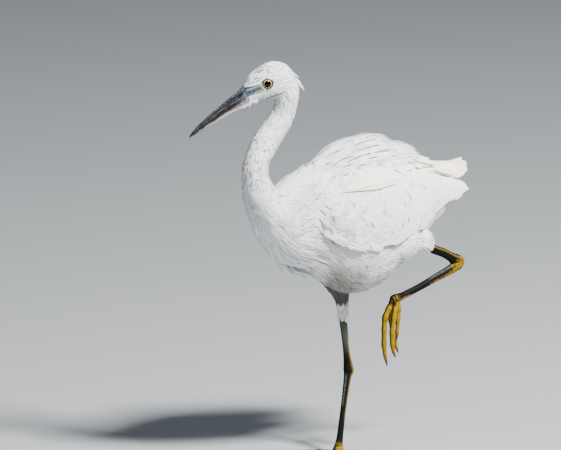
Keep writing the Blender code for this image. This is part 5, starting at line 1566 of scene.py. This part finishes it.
def toe_paint(black, yellow):
    """The colours of a toe: yellow, black in the seams, over the top and at the root."""

    def paint(share, a, front, seam, small):
        """Colour by share of the length, angle from the front, seams and small scales."""
        top = lambda shift, low, soft: ease((np.cos(a + shift) - low) / soft)
        knuckle = between(np.abs(np.sin(share * 3 * math.pi)), -0.5, 0.45, 0.3)
        return layered(share[..., None], yellow, (
            (black, 0.85 * seam * (0.5 + 0.5 * front) * (0.6 + 0.4 * knuckle)),
            (black, 0.92 * top(0.17, 0.76, 0.08) * ease(0.5 + 0.8 * small)),
            (black, 0.85 * ease((0.13 - share) / 0.06) * top(0.1, -0.1, 0.3)),
            (AMBER, 0.6 * ease((share - 0.92) / 0.06)),
        ))

    return paint


def foot_paint(black, yellow):
    """The colours of the lifted foot: a toe's, blackened over the top and on small scales."""
    toe = toe_paint(black, yellow)

    def paint(share, a, front, seam, small):
        """Colour by share of the length, angle from the front, seams and small scales."""
        over = ease((np.cos(a - 0.2) + 0.35) / 0.3) * (np.sin(share * 22 + 2 * np.cos(a)) > -0.55)
        base = painted(toe(share * 0.4, a, front, seam, small), black, 0.95 * over)
        return painted(base, black, 0.7 * (1 - front) * (small < 0.35))

    return paint


def claw_paint(share, a, front, seam, small):
    """A claw's colour: amber at its root, dark horn from the middle on."""
    return layered(share[..., None], AMBER, (("#2A140A", ease(share / 0.6)),))


def flat_toes():
    """The standing foot's toes and claws as rows along their headings on the floor."""
    toes = {}
    for toe, (heading, joints, claw) in FLAT_TOES.items():
        ahead = np.array([math.cos(math.radians(heading)), math.sin(math.radians(heading))])
        end, last = joints[-1]
        rows = [[*(ahead * d), r - 0.0005, r, r] for d, r in joints]
        rows.append([*(ahead * (end + 0.55 * claw)), 0.0031, last * 0.66, last * 0.60])
        rows.append([*(ahead * (end + claw)), 0.0012, 0.0004, 0.0004])
        toes[toe] = rows
    return toes


def make_ankle(yellow, material, rng):
    """A smooth knuckle over the lifted leg's bent ankle: a tilted egg with small lumps."""
    at = np.array([0.1330, -0.0340, 0.2026])
    across, over = rings(np.linspace(0.03, math.pi - 0.03, 60), 60)
    lumps = 1 + 0.02 * np.sin(across * 17 + 2 * np.sin(over * 3)) * np.sin(over * 11)
    knuckle = np.stack([
        0.0078 * np.sin(across) * np.cos(over),
        0.0056 * np.cos(across),
        0.0070 * np.sin(across) * np.sin(over)], -1)
    c, s = math.cos(math.radians(-38)), math.sin(math.radians(-38))
    grid = at + (knuckle * lumps[..., None]) @ np.array([[c, 0, s], [0, 1, 0], [-s, 0, c]])
    spots = ripple(grid, 0.004, rng) + 0.6 * ripple(grid, 0.0022, rng)
    inner = ease((at[0] - grid[..., 0]) / 0.004)
    colour = layered(grid, yellow, (
        (BROWN, ease((spots - 0.25 + 0.6 * inner) / 0.25) * 0.9),))
    tube("ankle_left_scales", grid, material, (), {"markings": colour})


def make_thigh(name, leg, settings, fur, down, rng):
    """A feathered thigh over the limb's upper rows; the standing one is grey with painted shade,
    above a cuff.
    """
    limb = limb_surface(leg["upper"], leg["up"])
    surface = lambda t, a, lift: limb(np.minimum(t, THIGH_END + 0.3), a, lift)
    t, a = rings(np.linspace(0.3, THIGH_END + 0.15, 60), 48)
    tint = np.broadcast_to(SKIN_TINT, (*t.shape, 3))
    tube(f"thigh_{name}_skin", surface(t, a, -0.0016 - 0 * t), fur,
         [f"thigh_{name}"], {"feather": tint})
    count = 400
    t = rng.uniform(0.2, THIGH_END - (0.3 if name == "left" else 1.2), count)
    a = rng.uniform(0, 2 * math.pi, count)
    size = rng.uniform(0.011, 0.018, count) * np.interp(t, (0, THIGH_END), (1.2, 0.7))
    heading = 0.12 * rng.standard_normal(count)
    feathers(f"thigh_{name}_feathers", surface, (t, a), heading, size, 0.5 * size, -0.0018,
             rng.uniform(0.0, 0.0010, count), fur, rng, barbs=11, thick=0.0014)
    if name == "right":
        count = 90
        t, a = rng.uniform(2.45, 3.35, count), rng.uniform(0, 2 * math.pi, count)
        size = rng.uniform(0.010, 0.014, count) * (1 + 0.35 * bell(a, 2.4, 0.5 ** 0.5))
        heading = 0.06 * rng.standard_normal(count)
        rise = rng.uniform(0.0008, 0.0016, count)
        white = settings.white
        cuff = strand_material("leg cuff, white", white, white, "#CFC9BC", "#F4ECDC")
        feathers("thigh_right_cuff", surface, (t, a), heading, size, 0.006, -0.0004, rise, cuff,
                 rng, barbs=8, thick=0.0013, loose=0.8)
        return
    for layer, back, rise in ((1, 0.0, (0.0030, 0.0062)), (2, 0.45, (0.0012, 0.0036))):
        tips = [(t - back, a) for t, a in LOBE_TIPS]
        tipped(f"flank_lobe_{layer}", surface, tips, 60, (0.018, 0.026), 0.011, rise, down, rng,
               barbs=11, thick=0.0016, loose=0.7, rows=4)
    for index, (count, t, a, length, width, rise) in enumerate(THIGH_LOBES):
        strewn(f"thigh_left_lobe_{index + 1}", surface, count, t, a, (0, 0.10), length, width,
               -0.0012, rise, down, rng, barbs=13, thick=0.0017, loose=0.8)


def make_legs(settings):
    """Bare legs, feet and claws with their scales, and the feathered thighs."""
    black, yellow = settings.leg, settings.toe
    dark = scale_material("leg scales, black", 0.62)
    scaled = scale_material("toe scales, yellow", 0.5)
    horn = horn_material("claw horn", 0.3)
    down = strand_material("thigh down", settings.white, settings.cool, settings.shade)
    # Painted shade: the standing thigh, under the belly, in dark greys, darkest low down.
    wet = strand_material("thigh down, wet grey", "#7C7674", "#5E5A5C", "#3A383C", "#2C282A")
    toe = toe_paint(black, yellow)
    rng = np.random.default_rng(SEED + 4)
    for name, leg in LEGS.items():
        upper, lower, up, standing = leg["upper"], leg["lower"], leg["up"], name == "right"
        for part, rows, start, end, steps in (
            ("tibia", upper, THIGH_END - 0.9, len(upper) - 1, 190),
            ("tarsus", lower, 0, TARSUS_END, 230),
        ):
            make_limb(f"{part}_{name}_scales", rows, up, start, end, 36, steps, 0.0019,
                      leg_paint(f"{part}_{name}", black, yellow), dark,
                      [f"{part}_{name}"])
        make_limb(f"foot_{name}_scales", lower, up, TARSUS_END, len(lower) - 1, 40, 50, 0.0016,
                  toe if standing else foot_paint(black, yellow), scaled,
                  [f"foot_{name}"], standing)
        if standing:
            toes = flat_toes()
        else:
            toes = {toe_name: [[*row, row[3]] for row in rows]
                    for toe_name, rows in HANGING_TOES.items()}
            make_ankle(yellow, scaled, rng)
        for toe_name, rows in toes.items():
            # The last three rows are the claw's; the joints before them swell a little.
            rows = np.array(rows)
            joints = len(rows) - 3
            pads = np.linspace(0, len(rows) - 1, 12 * len(rows))
            swollen = through(pads, rows)
            swell = 1 + 0.09 * np.cos(pads * 2 * math.pi) * (pads < joints + 0.3)
            swollen[:, 3:] *= swell[:, None]
            last = (len(swollen) - 1) * joints / (len(rows) - 1)
            make_limb(f"toe_{name}_{toe_name}_scales", swollen, leg["toe_up"], 0, last, 28, 170,
                      0.0023, toe, scaled, [f"toe_{name}_{toe_name}"], standing)
            make_limb(f"claw_{name}_{toe_name}_horn", rows, leg["toe_up"], joints - 0.12,
                      len(rows) - 1, 20, 36, 1.0, claw_paint, horn,
                      [f"claw_{name}_{toe_name}"], standing)
        make_thigh(name, leg, settings, wet if standing else down, down, rng)


def linked(name, data):
    """A new object for some data, linked to the scene."""
    made = bpy.data.objects.new(name, data)
    bpy.context.scene.collection.objects.link(made)
    return made


def make_stage(settings):
    """Pale floor, soft key and fill lights, and the camera."""
    azimuth, elevation = math.radians(CAMERA_AZIMUTH), math.radians(CAMERA_ELEVATION)
    c, s = math.cos(azimuth), math.sin(azimuth)
    level, rise = math.cos(elevation), math.sin(elevation)
    right = np.array([c, s, 0])
    up = np.array([-s * rise, c * rise, level])
    back = np.array([s * level, -c * level, rise])
    data = bpy.data.cameras.new("camera")
    data.lens, data.sensor_width = 800.0, 36.0
    data.clip_end = 80.0
    camera = linked("camera", data)
    # The view's scale holds in the plane through the middle of the body.
    aim = right * settings.aim_right + up * settings.aim_up + back * 0.055
    camera.matrix_world = Matrix(np.column_stack([right, up, back]).tolist()).to_4x4()
    camera.location = Vector(aim + back * settings.distance)
    bpy.context.scene.camera = camera
    mesh = bpy.data.meshes.new("floor")
    mesh.from_pydata([(-30, -30, 0), (30, -30, 0), (30, 30, 0), (-30, 30, 0)], [], [(0, 1, 2, 3)])
    mesh.materials.append(plain_material("floor, matt paper", settings.floor, 0.9))
    floor = linked("floor", mesh)
    flat = np.array([back[0], back[1], 0]) / math.hypot(back[0], back[1])
    # Lights: metres across the view, towards the camera and up, size, power and tone.
    for name, across, out, height, size, power, tone in (
        ("key", 1.5, 1.5, 2.4, 0.6, settings.key, (1.0, 0.98, 0.95)),
        ("fill", -2.4, 1.4, 1.3, 2.4, settings.fill, (0.88, 0.93, 1.0)),
        ("back", 0.8, -2.3, 1.9, 1.8, settings.fill, (0.93, 0.96, 1.0)),
    ):
        light = bpy.data.lights.new(name, "AREA")
        light.size, light.energy, light.color = size, power, tone
        lamp = linked(name, light)
        direction = Vector(right * across + flat * out + np.array([0.0, 0.0, height]))
        lamp.location = direction + Vector((0, 0, 0.2))
        lamp.rotation_euler = direction.to_track_quat("Z", "Y").to_euler()
    world = bpy.data.worlds.new("studio")
    world.use_nodes = True
    sky = world.node_tree.nodes["Background"].inputs
    sky["Color"].default_value = linear(settings.sky)
    sky["Strength"].default_value = settings.ambient
    bpy.context.scene.world = world


def colour_property(name, description, code):
    """A colour setting with a hex code as its default."""
    return FloatVectorProperty(name=name, description=description, default=linear(code)[:3],
                               subtype="COLOR", size=3, min=0, max=1)


def length_property(name, description, default):
    """A length setting in metres."""
    return FloatProperty(name=name, description=description, default=default, unit="LENGTH")


def power_property(name, description, default):
    """A setting that isn't below zero."""
    return FloatProperty(name=name, description=description, default=default, min=0)


def hex_of(colour):
    """A linear colour property back as an sRGB hex code."""
    value = np.clip(np.array(colour[:3]), 0, 1)
    value = np.where(value <= 0.0031308, value * 12.92, 1.055 * value ** (1 / 2.4) - 0.055)
    return "#" + "".join(f"{int(round(v * 255)):02X}" for v in value)


class EgretColours(PropertyGroup):
    """Colours of the bird."""

    white: colour_property("White", "White of the plumage", "#F8F9FA")
    cool: colour_property("Cool white", "Bluish white of the shaded plumage", "#A8B5C7")
    cream: colour_property("Cream", "Warm white of feather edges and tail", "#F2EAD6")
    # Painted shade: the grey that feathers go towards at their roots.
    shade: colour_property("Root shade", "Grey of the feathers' roots", "#9BA1AA")
    skin: colour_property("Skin", "Downy skin under the feathers", "#E4E6E8")
    lore: colour_property("Lore", "Bare skin between eye and bill", "#5C7080")
    lid: colour_property("Eyelid", "Bare ring round the eye", "#A2A67C")
    horn: colour_property("Upper bill", "Dark horn of the upper mandible", "#100E16")
    horn_pale: colour_property("Lower bill", "Pale horn of the lower mandible", "#D2BFB2")
    leg: colour_property("Leg", "Black scales", "#030304")
    toe: colour_property("Toe", "Yellow scales", "#8F7300")


class EgretStage(PropertyGroup):
    """Camera, lights and floor."""

    distance: length_property("Distance", "Camera to bird", 13.467)
    aim_right: length_property("Aim right", "Aim across the view", -0.0621)
    aim_up: length_property("Aim up", "Aim up the view", 0.2495)
    key: power_property("Key", "Power of the key light in watts", 400.0)
    fill: power_property("Fill", "Power of each fill light in watts", 14.0)
    ambient: power_property("Ambient", "Strength of the surrounding light", 0.11)
    floor: colour_property("Floor", "Paper floor", "#A4A9AD")
    sky: colour_property("Sky", "Surrounding light", "#C2D0E0")


class Values:
    """The settings of a group with each colour as a hex code."""

    def __init__(self, group):
        for key in group.__annotations__:
            value = getattr(group, key)
            setattr(self, key, value if isinstance(value, float) else hex_of(value))


class EGRET_OT_skin(Operator):
    """Make the skin from tail to bill"""
    bl_idname, bl_label = "egret.skin", "Skin"

    def execute(self, context):
        make_skin(Values(context.scene.egret_colours))
        return {"FINISHED"}


class EGRET_OT_body_feathers(Operator):
    """Make the feathers of head, neck and body"""
    bl_idname, bl_label = "egret.body_feathers", "Body feathers"

    def execute(self, context):
        make_body_feathers(Values(context.scene.egret_colours))
        return {"FINISHED"}


class EGRET_OT_wings(Operator):
    """Make both folded wings"""
    bl_idname, bl_label = "egret.wings", "Wings"

    def execute(self, context):
        make_wing_feathers(Values(context.scene.egret_colours))
        return {"FINISHED"}


class EGRET_OT_tail(Operator):
    """Make the tail feathers"""
    bl_idname, bl_label = "egret.tail", "Tail"

    def execute(self, context):
        make_tail_feathers(Values(context.scene.egret_colours))
        return {"FINISHED"}


class EGRET_OT_bill(Operator):
    """Make both mandibles"""
    bl_idname, bl_label = "egret.bill", "Bill"

    def execute(self, context):
        make_bill(Values(context.scene.egret_colours))
        return {"FINISHED"}


class EGRET_OT_eyes(Operator):
    """Make eyes and eyelids"""
    bl_idname, bl_label = "egret.eyes", "Eyes"

    def execute(self, context):
        make_eyes(Values(context.scene.egret_colours))
        return {"FINISHED"}


class EGRET_OT_legs(Operator):
    """Make legs, feet, toes and claws"""
    bl_idname, bl_label = "egret.legs", "Legs"

    def execute(self, context):
        make_legs(Values(context.scene.egret_colours))
        return {"FINISHED"}


class EGRET_OT_stage(Operator):
    """Make floor, lights and camera"""
    bl_idname, bl_label = "egret.stage", "Stage"

    def execute(self, context):
        make_stage(Values(context.scene.egret_stage))
        return {"FINISHED"}


STEPS = (EGRET_OT_stage, EGRET_OT_skin, EGRET_OT_body_feathers, EGRET_OT_wings, EGRET_OT_tail,
         EGRET_OT_bill, EGRET_OT_eyes, EGRET_OT_legs)


class EGRET_PT_finish(Panel):
    """Lists the egret's pieces and their settings"""
    bl_label, bl_space_type, bl_region_type, bl_category = "Egret finish", "VIEW_3D", "UI", "Egret"

    def draw(self, context):
        for group in (context.scene.egret_colours, context.scene.egret_stage):
            for key in group.__annotations__:
                self.layout.prop(group, key)
        for step in STEPS:
            self.layout.operator(step.bl_idname)


CLASSES = (EgretColours, EgretStage, *STEPS, EGRET_PT_finish)


def register():
    """Registers the classes and hangs the settings on the scene."""
    for cls in CLASSES:
        bpy.utils.register_class(cls)
    bpy.types.Scene.egret_colours = PointerProperty(type=EgretColours)
    bpy.types.Scene.egret_stage = PointerProperty(type=EgretStage)


def unregister():
    """Takes back what register did."""
    del bpy.types.Scene.egret_stage
    del bpy.types.Scene.egret_colours
    for cls in reversed(CLASSES):
        bpy.utils.unregister_class(cls)


def main():
    """Runs every operator in order."""
    register()
    for step in STEPS:
        group, name = step.bl_idname.split(".")
        getattr(getattr(bpy.ops, group), name)()


if __name__ == "__main__":
    main()
